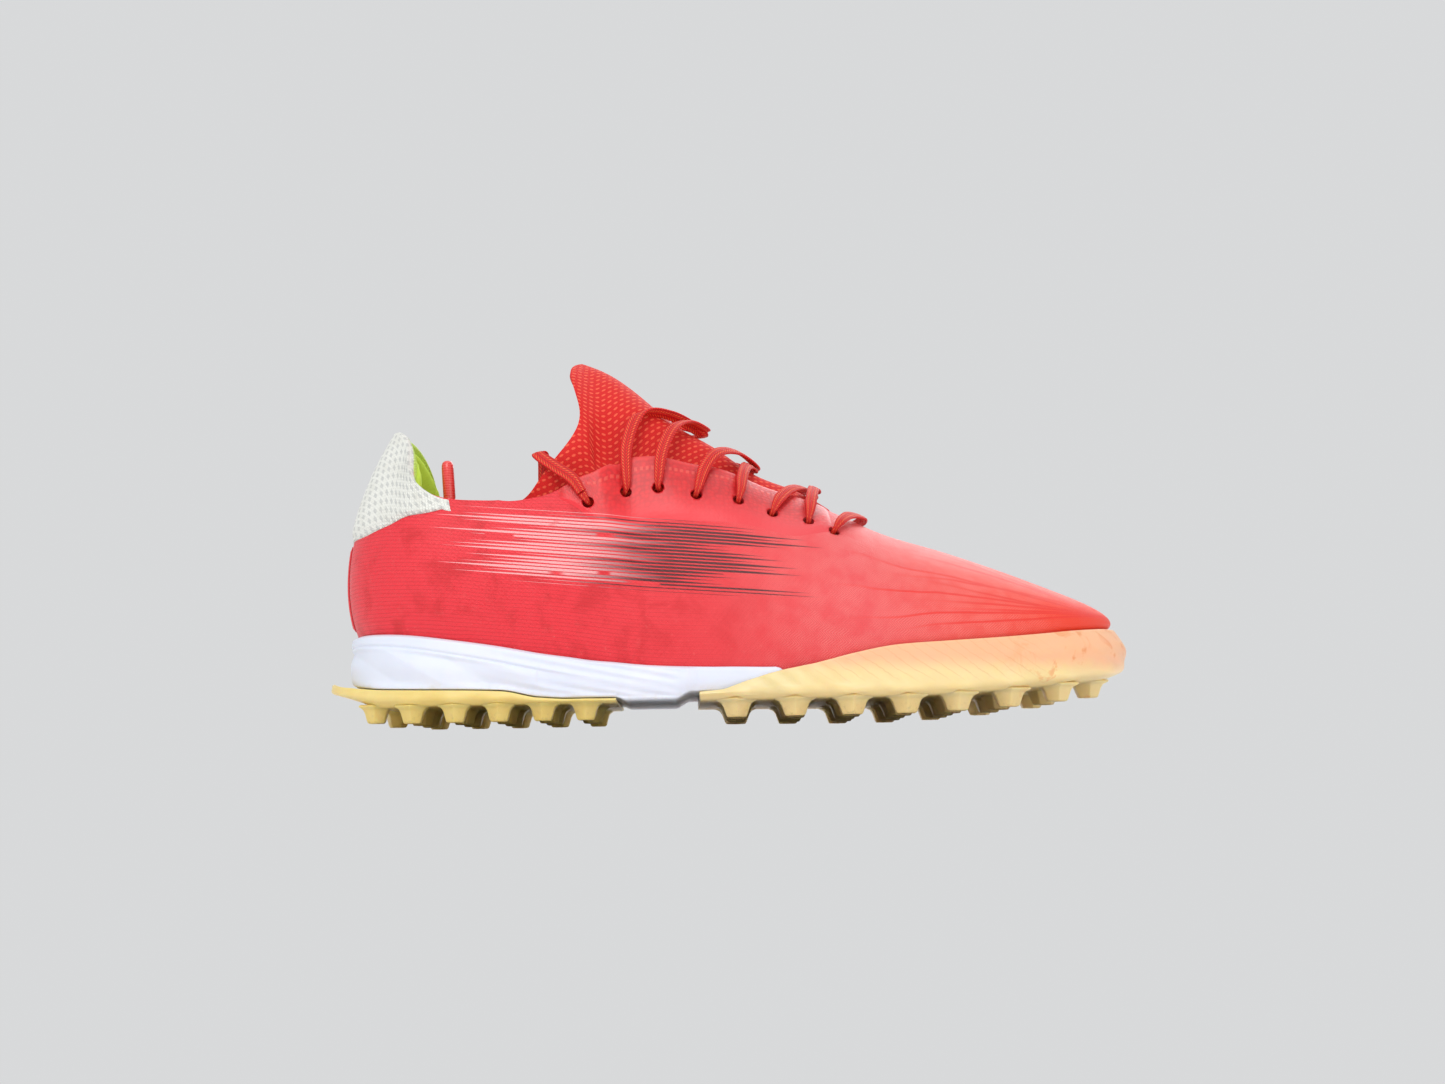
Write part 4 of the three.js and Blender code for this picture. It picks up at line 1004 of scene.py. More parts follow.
FK = np.linspace(7.0, 18.0, 150)
films = []
for name, side in (("eyestay_lateral", -1), ("eyestay_medial", 1)):
    r = np.linspace(0, 1, 26)
    V = film_lo(FK)[:, None] + (film_hi(FK) - film_lo(FK))[:, None] * r[None]
    hv = [(lat_i(FK), V)] if side < 0 else [(med_i(FK)[::-1], V[::-1])]
    def film_extra(ii, v, P, gv, sd):
        k = k_of(ii)
        s, q = graphic_st(P[..., 0], P[..., 2])
        lo = film_lo(k)
        return {"edge": (v - lo) / (throat_v(k) - lo), "kk": k, "gs": s, "gt": q, "px": P[..., 0], "pz": P[..., 2],
                "zone": ramp(P[..., 0], [(-75, (232, 26, 34)), (-10, (214, 26, 32)), (45, (226, 58, 60))])}

    def film_off(ii, v):
        k = k_of(ii)
        e = (v - film_lo(k)) / (throat_v(k) - film_lo(k))
        ends = smooth((k - 7.0) / 0.5) * smooth((18.0 - k) / 0.3)
        return -0.45 + (GAP + 0.2 + 0.45) * smooth(e * 3.2) * ends
    f = grid_sheet(name + "_film", hv, film_off, film_extra)
    solidify(f, 0.3, 0.1)
    pierce(f, 2.0)
    films.append(f)

# ------------------------------------------------------------------ heel tab, a ribbed knit that rolls over the collar edge
def tan_v(i, v):
    return unit(raw(i, np.minimum(v, 0.985) + 0.01) - raw(i, np.minimum(v, 0.985) - 0.01))


tab_lo = table([[0, 0.45], [1, 0.47], [2, 0.56], [3, 0.72], [4, 0.9]])


def rolled(name, ks, lo, out_off, in_off, down, extra=None, rows_out=30, rows_rim=10, rows_in=10):
    """skin from v = lo on the outside, round the collar edge, and down the inside by `down` mm"""
    halves_ = []
    V, F, UV, AT, base = [], [], [], {}, 0
    for sgn, ii in ((-1, lat_i(ks)), (1, med_i(ks)[::-1])):
        kk = k_of(ii)
        C = len(ii)
        top = 0.985
        pts = []
        tap = smooth((kk - 3.3) / 0.95)
        oo, io = out_off * (1 - 0.75 * tap), in_off + (-2.2 - in_off) * tap
        for r in range(rows_out):
            v = lo(kk) + (top - lo(kk)) * r / (rows_out - 1)
            thin = smooth(r / 3.0)
            pts.append(surf(ii, v, oo * thin + 0.15 * (1 - thin)))
        T = tan_v(ii, np.full(C, top))
        N = normal(ii, np.full(C, top))
        base_p = raw(ii, np.full(C, top))
        c, rad = ((oo + io) / 2)[:, None], ((oo - io) / 2)[:, None]
        for a in np.linspace(0, np.pi, rows_rim + 2)[1:-1]:
            pts.append(base_p + N * (c + rad * np.cos(a)) + T * (rad * 0.55 * np.sin(a)) * (1 - 0.4 * tap[:, None]))
        for r in range(rows_in):
            pts.append(surf(ii, np.full(C, top), io) - T * down * r / (rows_in - 1) - N * 0.25 * down * (r / (rows_in - 1)) ** 1.5 * 0.6)
        P = np.stack(pts, 1)
        R = P.shape[1]
        gv = np.concatenate([np.zeros((C, 1)), np.cumsum(np.linalg.norm(np.diff(P, axis=1), axis=2), 1)], 1)
        gu = np.concatenate([[0], np.cumsum(np.linalg.norm(np.diff(surf(ii, np.full(C, 0.8)), axis=0), axis=1))])
        gu = (gu[-1] - gu) if sgn > 0 else gu
        U = np.broadcast_to(gu[:, None] * (1 if sgn < 0 else -1), (C, R))
        V.append(P.reshape(-1, 3))
        UV.append(np.stack([0.5 + U * UVS, (gv - gv[:, rows_out - 1:rows_out] + 90) * UVS], -1).reshape(-1, 2))
        rowpos = np.broadcast_to(np.arange(R)[None] / (R - 1), (C, R))
        at_ = {"rw": rowpos, "kk": np.broadcast_to(kk[:, None], (C, R)), "pz": P[..., 2], "px": P[..., 0],
               "inn": np.broadcast_to((np.arange(R)[None] > rows_out + rows_rim * 0.5).astype(float), (C, R))}
        for key, arr in at_.items():
            AT.setdefault(key, []).append(arr.reshape(-1))
        idx = base + np.arange(C * R).reshape(C, R)
        F.append(np.stack([idx[:-1, :-1], idx[1:, :-1], idx[1:, 1:], idx[:-1, 1:]], -1).reshape(-1, 4))
        base += C * R
    ob = make_object(name, np.concatenate(V), np.concatenate(F), np.concatenate(UV), {k: np.concatenate(x) for k, x in AT.items()}, smooth_angle=0)
    merge(ob)
    return ob


TK = np.linspace(0, 4.25, 70)
tab_lo2 = lambda k: np.clip(tab_lo(k), 0, 0.965)
heel_tab = rolled("heel_tab_knit", TK, tab_lo2, GAP + 1.1, -3.2, 5.0)
solidify(heel_tab, 0.5)

# narrow tape over the back seam
TI = np.linspace(-0.34, 0.34, 11)
def tape():
    v = np.linspace(0.045, 0.44, 60)
    ii = np.repeat(np.mod(TI, LOOP)[:, None], 60, 1)
    vv = np.repeat(v[None], 11, 0)
    e = 1 - np.abs(TI / 0.34)
    off = 0.35 + 0.55 * smooth(e[:, None] * 3.0) * smooth((np.minimum(v - 0.045, 0.44 - v) / 0.02)[None])
    P = surf(ii, vv, off)
    idx = np.arange(11 * 60).reshape(11, 60)
    F = np.stack([idx[:-1, :-1], idx[1:, :-1], idx[1:, 1:], idx[:-1, 1:]], -1).reshape(-1, 4)
    at_ = {"across": np.repeat(TI[:, None] / 0.34, 60, 1).ravel(), "along": np.repeat((v * 110)[None], 11, 0).ravel()}
    ob = make_object("heel_seam_tape_film", P.reshape(-1, 3), F, None, at_, smooth_angle=0)
    solidify(ob, 0.3)
    return ob
seam_tape = tape()

# ------------------------------------------------------------------ collar pad and lining, one quilted ring, pressed by cloth simulation
foam_lo = 3.2 / 6


def foam_depth(v, k):
    return 3.6 * np.sin(np.pi * np.clip((v - foam_lo) / (1 - foam_lo), 0, 1)) * np.where(k > 4.4, 0.6, 1) + 1.5


def collar():
    ks = np.linspace(0, 5.0, 56)
    V, F, base = [], [], 0
    for ii in (lat_i(ks), med_i(ks)[::-1]):
        kk = k_of(ii)
        C = len(ii)
        up = np.linspace(0.085, 0.965, 26)
        cols = []
        for v in up:                                    # outer side, against the shell
            cols.append(surf(ii, np.full(C, v), np.full(C, -SHELL_T - 0.5)))
        for v in up[::-1]:                               # inner side, over the foam
            d = -SHELL_T - 1.45 - foam_depth(np.full(C, v), kk) - 0.9 + 0.45
            cols.append(surf(ii, np.full(C, v), d))
        P = np.stack(cols, 1)
        R = P.shape[1]
        idx = base + np.arange(C * R).reshape(C, R)
        nx = np.roll(idx, -1, 1)
        F.append(np.stack([idx[:-1], idx[1:], nx[1:], nx[:-1]], -1).reshape(-1, 4))
        V.append(P.reshape(-1, 3))
        ends = idx[-1] if ii[-1] < NK else idx[0]
        F.append(("cap", list(ends) if ii[-1] < NK else list(ends)[::-1]))
        base += C * R
    faces = []
    for f in F:
        if isinstance(f, tuple):
            row = f[1]
            R = len(row)
            for j in range(R // 2 - 1):                  # quads across the open end
                faces.append([row[j], row[j + 1], row[R - 2 - j], row[R - 1 - j]])
        else:
            faces += f.tolist()
    ob = make_object("collar_pad_lining", np.concatenate(V), faces, smooth_angle=0)
    merge(ob)
    bm = bmesh.new(); bm.from_mesh(ob.data)
    bmesh.ops.recalc_face_normals(bm, faces=bm.faces)
    bm.to_mesh(ob.data); bm.free()
    return ob


def puff(ob, voxel_mm, pressure, cap_mm, frames=20):
    """Pressure cloth on a remeshed copy, then one subdivision. The plain shape is used when the simulation is skipped."""
    active(ob)
    r = ob.modifiers.new("remesh", "REMESH")
    r.mode, r.voxel_size, r.use_smooth_shade = "VOXEL", voxel_mm * MM, True
    apply_all(ob)
    s = ob.modifiers.new("soft", "SMOOTH")
    s.factor, s.iterations = 0.5, 3
    apply_all(ob)
    rest = np.array([v.co[:] for v in ob.data.vertices])
    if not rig.quick():
        c = ob.modifiers.new("cloth", "CLOTH")
        c.settings.quality, c.settings.mass = 6, 0.15
        c.settings.use_pressure, c.settings.uniform_pressure_force = True, pressure
        c.settings.tension_stiffness = c.settings.compression_stiffness = 12
        c.settings.bending_stiffness = 1.5
        c.settings.effector_weights.gravity = 0
        c.point_cache.frame_start, c.point_cache.frame_end = 1, frames
        sc = bpy.context.scene
        for f in range(1, frames + 1):
            sc.frame_set(f)
        dg = bpy.context.evaluated_depsgraph_get()
        ev = ob.evaluated_get(dg)
        me = ev.to_mesh()
        got = np.array([v.co[:] for v in me.vertices])
        ev.to_mesh_clear()
        ob.modifiers.remove(c)
        sc.frame_set(1)
        if got.shape == rest.shape:
            d = got - rest
            n = np.linalg.norm(d, axis=1, keepdims=True)
            d *= np.minimum(1, cap_mm * MM / np.maximum(n, 1e-9))
            print(ob.name, "cloth moved mm: mean %.2f max %.2f" % (np.minimum(n, cap_mm * MM).mean() * 1000, n.max() * 1000))
            for vtx, p in zip(ob.data.vertices, rest + d):
                vtx.co = p
            ob.data.update()
        else:
            print(ob.name, "cloth result has another size and is not used")
    sub = ob.modifiers.new("sub", "SUBSURF")
    sub.levels = sub.render_levels = 1
    apply_all(ob)
    ob.data.polygons.foreach_set("use_smooth", [True] * len(ob.data.polygons))


collar_ob = collar()
puff(collar_ob, 1.3, 4.0, 0.7)
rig.padded(collar_ob, 0.55)

# ------------------------------------------------------------------ tongue, one knitted piece with a bound edge
def tongue_out(k, v):
    t = np.where(k > 18.0, 0.82 + (k - 18.0) * 0.16, throat_v(k))
    return -4.7 + 4.9 * smooth((v - t - 0.02) / 0.17)


EDGE_PTS = EDGE(np.linspace(5, 17, 400))


def tongue_extra(ii, v, P, gv, side):
    flat = P.reshape(-1, 3)
    d = np.min(np.linalg.norm(flat[:, None, ::1] - EDGE_PTS[None, ::4], axis=2), axis=1).reshape(v.shape)
    return {"edge": d, "kk": k_of(ii), "below": np.clip((throat_v(k_of(ii)) - v) * 60, -50, 50)}


TOK = np.linspace(6.0, 19.8, 166)
t_ = throat_v(TOK)
lo_ = np.maximum(t_ - 0.3, 0.2)
rr = np.linspace(0, 1, 60)
TV = lo_[:, None] + (1 - lo_)[:, None] * rr[None]
tongue = grid_sheet("tongue_knit", [(lat_i(TOK), TV), (med_i(TOK)[::-1], TV[::-1])],
                    lambda ii, v: tongue_out(k_of(ii), v), tongue_extra)
solidify(tongue, 1.8, 0.7)
print("tongue verts", len(tongue.data.vertices))


# ------------------------------------------------------------------ sole
def plate_x(x):
    x = np.asarray(x, float)
    return STUD_H + np.where(x > 45, 0.00095 * (x - 45) ** 2, 0) + np.where(x < -118, 0.016 * (x + 118) ** 2, 0)


def plate_z(k):
    return float(plate_x(RAIL[0](float(k))[0]))


PLATE_T, WALL_IN, WALL_OUT = 2.6, 0.45, 3.0
wall_top = table([[13, 8.2], [14.2, 9], [15, 11.5], [16, 14.6], [17, 16.9], [18, 20], [19, 22.5], [20, 23.7], [21, 24.9], [22, 26.5], [23, 28.5], [24, 30], [25, 30.7]])
heel_top = table([[0, 15.6], [1, 13.2], [2, 11.6], [3, 11], [5, 10], [6, 7.6], [7, 7.0], [9.2, 6.9]])


def section(corners, radii, walls):
    """rounded profile: corners = (off or None for the centre line, z); walls = subdivisions of each segment.
    Returns points as (centre fraction, off, z) so that the centre line can be blended in."""
    n = len(corners)
    first_off, last_off = corners[1][0], corners[-2][0]
    pts = []
    C = [(0.0 if o is None else 1.0, (first_off if j == 0 else last_off) if o is None else o, z) for j, (o, z) in enumerate(corners)]
    C = [np.array(c, float) for c in C]
    ends = []
    for j in range(n):
        if j in (0, n - 1) or radii[j] == 0:
            ends.append((C[j], C[j], C[j]))
            continue
        # distance measured in the (off, z) plane; a centre segment is long, so its fraction is scaled
        def toward(t):
            d = t - C[j]
            if abs(d[0]) > 0.5:
                return C[j] + d * min(0.03 * radii[j] / 0.8, 0.1)
            L = math.hypot(d[1], d[2])
            return C[j] + d * min(radii[j] / max(L, 1e-6), 0.45)
        ends.append((toward(C[j - 1]), C[j], toward(C[j + 1])))
    for j in range(n):
        a, c, b = ends[j]
        if a is c:
            pts.append(c)
        else:
            for t in (0, 0.25, 0.5, 0.75, 1):
                pts.append(a * (1 - t) ** 2 + c * 2 * t * (1 - t) + b * t * t)
        if j + 1 < n:
            nx = ends[j + 1][0]
            for q in range(1, walls[j]):
                pts.append(b + (nx - b) * q / walls[j])
    return np.array(pts)


def sole_mesh(name, ks, profile, tip_inset=2.5, displace=None, smooth_angle=50):
    secs = [section(*profile(k)) for k in ks]
    R = len(secs[0])
    V, F, AT = [], [], {"hz": [], "kk": [], "wall": []}
    base = 0
    grids = []
    for sgn in (-1, 1):
        G = np.zeros((len(ks), R, 3))
        for c, k in enumerate(ks):
            i = k if sgn < 0 else LOOP - k
            B, N = RAIL[0](float(i)), outline_normal(float(i))
            ctr = (RAIL[0](float(k)) + RAIL[0](float(LOOP - k))) / 2
            inset = tip_inset * (1 - smooth(min(k, NK - k) / 0.8)) * (1 if k < NK / 2 else -1)
            ctr = ctr + np.array([inset, 0, 0])
            S = secs[c]
            off, z = S[:, 1].copy(), S[:, 2].copy()
            E = B[None, :2] + N[None, :2] * off[:, None]
            if displace is not None:
                d = displace(np.full(R, k), S[:, 0], off, z, E[:, 0], sgn)
                E = E + N[None, :2] * d[:, None]
            f = S[:, :1]
            xy = ctr[None, :2] * (1 - f) + E * f
            G[c, :, :2], G[c, :, 2] = xy, z
        grids.append(G)
        idx = base + np.arange(len(ks) * R).reshape(len(ks), R)
        q = np.stack([idx[:-1, :-1], idx[1:, :-1], idx[1:, 1:], idx[:-1, 1:]], -1).reshape(-1, 4)
        F += (q if sgn < 0 else q[:, ::-1]).tolist()
        V.append(G.reshape(-1, 3))
        AT["hz"].append(np.array([s[:, 2] - s[:, 2].min() for s in secs]).ravel())
        AT["kk"].append(np.repeat(ks, R))
        AT["wall"].append(np.array([s[:, 0] for s in secs]).ravel())
        base += len(ks) * R
    n = len(ks) * R
    for c, want in ((0, ks[0] > 0), (len(ks) - 1, ks[-1] < NK)):
        if want:
            for r in range(R - 1):
                q = [c * R + r, c * R + r + 1, n + c * R + r + 1, n + c * R + r]
                F.append(q if c == 0 else q[::-1])
    ob = make_object(name, np.concatenate(V), F, None, {k: np.concatenate(x) for k, x in AT.items()}, smooth_angle=0)
    merge(ob, 0.00003)
    bm = bmesh.new(); bm.from_mesh(ob.data)
    bmesh.ops.recalc_face_normals(bm, faces=bm.faces)
    bm.to_mesh(ob.data); bm.free()
    ob.data.polygons.foreach_set("use_smooth", [True] * len(ob.data.polygons))
    ob.data.set_sharp_from_angle(angle=math.radians(smooth_angle))
    return ob


def add_studs(ob, studs, flare=1.9):
    """studs = (x, y, z of plate, turn, sides): faceted rubber studs with a flared foot, joined to the plate"""
    V, F = [], []
    for x, y, z, turn, n, r0, r1 in studs:
        prof = [(r0 - 0.45, z - STUD_H), (r0, z - STUD_H + 0.5), (lerp(r0, r1, 0.6), z - 1.9), (r1, z - 0.8), (r1 + flare, z + 0.15), (r1 + flare - 0.6, z + 0.8)]
        base = len(V)
        for r, h in prof:
            for j in range(n):
                a = turn + 2 * np.pi * (j + 0.5) / n
                V.append([x + r * np.cos(a), y + r * np.sin(a), h])
        m = len(prof)
        for p in range(m - 1):
            for j in range(n):
                j2 = (j + 1) % n
                F.append([base + p * n + j, base + p * n + j2, base + (p + 1) * n + j2, base + (p + 1) * n + j])
        F.append([base + j for j in range(n)][::-1])
        F.append([base + (m - 1) * n + j for j in range(n)])
    st = make_object("studs", V, F, smooth_angle=0)
    b = st.modifiers.new("bevel", "BEVEL")
    b.width, b.segments, b.limit_method, b.angle_limit = 0.28 * MM, 2, "ANGLE", math.radians(18)
    apply_all(st)
    st.data.polygons.foreach_set("use_smooth", [True] * len(st.data.polygons))
    st.data.set_sharp_from_angle(angle=math.radians(28))
    active(ob)
    st.select_set(True)
    bpy.ops.object.join()


def outline_y(x, medial, k0, k1):
    ks = np.linspace(k0, k1, 600)
    p = RAIL[0](LOOP - ks if medial else ks)
    return float(np.interp(x, p[:, 0], p[:, 1]))


# forefoot rubber and its toe wrap
def fore_profile(k):
    zp = plate_z(k)
    top = max(float(wall_top(k)), zp + PLATE_T + 0.2)
    inn = 1.9 if k < 16.5 else lerp(1.9, WALL_IN, float(smooth(k - 16.5)))
    bulge = 3.6 * float(smooth((k - 19.5) / 4.5))
    return ([(None, zp), (WALL_OUT - 3.4, zp), (WALL_OUT + bulge * 0.55, zp + 2.2), (WALL_OUT + bulge, lerp(zp, top, 0.62)), (WALL_OUT - 0.6, top),
             (inn, top), (inn, zp + PLATE_T), (None, zp + PLATE_T)],
            [0, 1.4, 1.6, 2.6, 0.5, 0.25, 0.2, 0], [10, 4, 10, 12, 2, 5, 6, 1])


def fore_displace(k, f, off, z, x, sgn):
    """shallow moulded creases running down and forward on the wrap, and lugs over the outer studs"""
    zp = plate_x(x)
    h = np.clip((z - zp) / 14.0, 0, 1)
    on = f * (off > 1.4)
    lug = (0.5 + 0.5 * np.cos((x - 20.0) * 2 * np.pi / 18.4)) ** 1.6 * np.exp(-((z - zp - 0.6) / 3.4) ** 2) * 1.7
    crease = 0.16 * np.sin((x * 0.9 + z * 1.1) * 2 * np.pi / 7.5) * smooth(h * 3) * smooth((1 - h) * 4)
    return on * (lug + crease) * smooth((k - 13.6) / 1.0)


fore_ks = np.concatenate([np.linspace(13.4, 24, 170), np.linspace(24.05, 25, 34)])
forefoot = sole_mesh("outsole_forefoot_rubber", fore_ks, fore_profile, displace=fore_displace)
studs = []
for x, n in [[0.5, 4], [20, 5], [39, 5], [57, 5], [74.5, 5], [93, 4], [111.5, 3], [128, 1]]:
    yl, ym = outline_y(x, False, 13, 25) + 6.2, outline_y(x, True, 13, 25) - 6.2
    for j in range(n):
        y = (yl + ym) / 2 if n == 1 else lerp(yl, ym, j / (n - 1))
        studs.append((x, y, float(plate_x(x)), (j % 2) * np.pi / 6, 6, 4.0, 6.1))
add_studs(forefoot, studs, 2.2)


# heel rubber
def heel_profile(k):
    zp = plate_z(k)
    t = max(float(heel_top(k)), zp + 1.1)
    out = WALL_OUT + 6.8 * (1 - float(smooth(k / 2.2)))
    lowz = lerp(min(zp, 9), zp, float(smooth((k - 2) / 1.5)))
    topz = lerp(min(t, 11), t, float(smooth((k - 2) / 1.5)))
    return ([(None, lowz), (-0.6, zp), (out, lerp(zp, t, 0.45)), (out - 0.5, t), (None, topz)], [0, 1.2, 1.3, 0.4, 0], [14, 5, 5, 14])


def heel_displace(k, f, off, z, x, sgn):
    zp = plate_x(x)
    lug = (0.5 + 0.5 * np.cos((x + 110.0) * 2 * np.pi / 15.0)) ** 1.6 * np.exp(-((z - zp - 0.4) / 2.0) ** 2) * 1.2
    return (f > 0.99) * (off > 0.5) * lug * smooth((k - 1.6) / 0.8) * smooth((9.0 - k) / 0.8)


heel_ks = np.concatenate([np.linspace(0, 1, 34), np.linspace(1.04, 9.2, 150)])
heel = sole_mesh("outsole_heel_rubber", heel_ks, heel_profile, displace=heel_displace)
studs = []
for x, n in [[-124, 2], [-110, 4], [-95, 4], [-80, 4], [-65, 4], [-50.5, 3]]:
    yl, ym = outline_y(x, False, 0, 12) + 4.6, outline_y(x, True, 0, 12) - 4.6
    for j in range(n):
        studs.append((x, lerp(yl, ym, j / (n - 1)), float(plate_x(x)), (j % 2) * np.pi / 6, 6, 3.4, 5.0))
add_studs(heel, studs, 1.7)


# foam midsole with carved facets, a fading groove and waves at the waist
def mid_bottom(k):
    return max(float(heel_top(k)), plate_z(k) + 1.1) + GAP if k <= 9.2 else 6.2 if k < 12.9 else plate_z(k) + PLATE_T + GAP + 0.15


def mid_profile(k):
    zb = mid_bottom(k)
    if 9.2 < k < 9.8:
        zb = lerp(mid_bottom(9.2), 6.2, float(smooth((k - 9.2) / 0.6)))
    if 12.4 < k < 13.4:
        zb = lerp(6.2, plate_z(13.4) + PLATE_T + GAP + 0.15, float(smooth((k - 12.4) / 0.7)))
    fb = float(footbed(k))
    cupf = 1 - float(smooth((k - 15.9) / 0.6))
    under = float(smooth((k - 12.9) / 0.5))
    out = lerp(WALL_OUT - 0.4, lerp(1.55, 0.05, 1 - cupf), under)
    top = lerp(fb + 0.05, RAIL[0](float(k))[2] + 0.2, cupf)
    inn = lerp(-0.4, WALL_IN, cupf)
    bulge = lerp(1.0 if k < 6 else 0.6, 0, under)
    return ([(None, min(zb, 12) if k < 2.5 else zb), (out - 0.6, zb), (out + bulge, zb + (top - zb) * 0.4), (out - 0.3, top - lerp(0.16, 0.8, cupf)),
             (inn + 0.02, top), (inn, fb), (None, fb)],
            [0, 0.5, 1.8, 0.5, 0.25, 0.2, 0], [4, 12, 30, 2, 6, 4])


def mid_displace(k, f, off, z, x, sgn):
    zt = RAIL[0](k if sgn < 0 else LOOP - k)[:, 2]
    zb = np.array([mid_bottom(float(a)) for a in k])
    h = np.clip((z - zb) / np.maximum(zt - zb, 1), 0, 1)
    on = (f > 0.99) * (off > 1.6) * smooth((12.9 - k) / 0.8)
    inside = smooth(h * 6) * smooth((1 - h) * 6)
    # groove under the lip, fading towards the waist
    zg = zt - 3.6 - 0.032 * (x + 134)
    groove = -0.6 * np.exp(-((z - zg) / 0.5) ** 2) * (1 - smooth((x + 84) / 42))
    # broad diagonal facets at the heel
    tri = lambda a: 2 * np.abs((a % 1.0) - 0.5)
    fac = -1.55 * (tri((x * 0.62 + z * 1.05) / 19.0)) * (1 - smooth((x + 74) / 26)) * smooth((zg - z) / 2.2)
    # shallow waves sweeping down and forward at the waist
    wv = -0.42 * (0.5 + 0.5 * np.sin(((z - 10) * 1.0 + (x + 70) * 0.21) * 2 * np.pi / 3.1)) * smooth((x + 88) / 26) * (1 - smooth((x + 6) / 22))
    rim = 0.25 * np.exp(-((h - 0.06) / 0.035) ** 2) * smooth((x + 62) / 14)
    return on * ((groove + fac + wv) * inside + rim)


mid_ks = np.concatenate([np.linspace(0, 1, 30), np.linspace(1.05, 13.6, 300), np.linspace(13.7, 24, 90), np.linspace(24.1, 25, 14)])
midsole = sole_mesh("midsole_foam_carved", mid_ks, mid_profile, displace=mid_displace, smooth_angle=60)


# insole, foam and cover
def insole(name, off, z0, z1, inset, r=0.5):
    ks = np.concatenate([np.linspace(0, 1, 16), np.linspace(1.1, 24, 120), np.linspace(24.05, 25, 16)])
    return sole_mesh(name, ks, lambda k: ([(None, float(footbed(k)) + z0), (off, float(footbed(k)) + z0), (off, float(footbed(k)) + z1), (None, float(footbed(k)) + z1)],
                                          [0, r, r, 0], [6, 2, 14]), tip_inset=inset)


ins_foam = insole("sockliner_foam_pad", -9.4, 2 * GAP + 1.2, 2 * GAP + 4.2, 10.9, 0.7)
ins_cover = insole("sockliner_cover_knit", -9.4, 3 * GAP + 4.2, 3 * GAP + 5.0, 10.9, 0.3)
print("sole verts", len(midsole.data.vertices), len(forefoot.data.vertices), len(heel.data.vertices))


# ------------------------------------------------------------------ materials
def knit_height(m, u, v, pitch_u, pitch_v):
    """interlocking V stitches: height 0..1"""
    col = m.math("FRACT", m.math("DIVIDE", u, pitch_u))
    d = m.math("ABSOLUTE", m.math("SUBTRACT", col, 0.5))
    vv = m.math("ADD", m.math("DIVIDE", v, pitch_v), m.math("MULTIPLY", d, 1.6))
    w = m.math("SINE", m.math("MULTIPLY", vv, 2 * math.pi))
    arch = m.math("SINE", m.math("MULTIPLY", m.math("ABSOLUTE", m.math("SUBTRACT", m.math("MULTIPLY", d, 2.0), 0.5)), math.pi))
    return m.math("MULTIPLY_ADD", m.math("MULTIPLY", w, m.math("SUBTRACT", 1.0, m.math("MULTIPLY", arch, 0.5))), 0.5, 0.5)


def side_graphic(m, c):
    """loose speed lines with ragged ends and no outline: pale behind, dark towards the middle, gone at the front"""
    s, t = m.attr("gs"), m.attr("gt")
    pitch = 1.2
    n = m.math("FLOOR", m.math("DIVIDE", m.math("ADD", t, 60.0), pitch))

    def rand(seed):
        w = m.node("ShaderNodeTexWhiteNoise", noise_dimensions="1D")
        m.link(m.math("ADD", n, seed), w.inputs["W"])
        return w.outputs["Value"]
    r1, r2, r3 = rand(3.0), rand(117.0), rand(251.0)
    start = m.math("MULTIPLY_ADD", r1, 40.0, 2.0)
    end = m.math("MULTIPLY_ADD", r2, 42.0, 110.0)
    grow = m.math("MULTIPLY", m.step(m.math("SUBTRACT", s, start), 0.0, 34.0), m.step(m.math("SUBTRACT", end, s), 0.0, 26.0))
    across = m.step(m.math("ABSOLUTE", t), 14.5, 8.0)
    duty = m.math("MULTIPLY", m.math("MULTIPLY", grow, across), m.math("MULTIPLY_ADD", r3, 0.2, 0.6))
    # every line is broken once or twice along its length
    gap = m.step(m.noise(m.vec(m.math("MULTIPLY", s, 0.05), m.math("MULTIPLY", n, 7.3)), 1.0, 1.0, 0.5), 0.29, 0.33)
    fr = m.math("ABSOLUTE", m.math("SUBTRACT", m.math("FRACT", m.math("DIVIDE", m.math("ADD", t, 60.0), pitch)), 0.5))
    line = m.step(m.math("SUBTRACT", fr, m.math("MULTIPLY", duty, 0.5)), -0.06, 0.03, 1.0, 0.0)
    line = m.math("MULTIPLY", m.math("MULTIPLY", line, gap), m.step(duty, 0.03, 0.1))
    dark = m.step(m.math("MULTIPLY_ADD", r1, 24.0, s), 66, 100)
    lc = m.mix(dark, srgb(252, 186, 188), srgb(58, 12, 18))
    alpha = m.math("MULTIPLY", line, m.mixf(dark, 0.86, 0.95))
    return m.mix(alpha, c, lc), alpha, dark, alpha


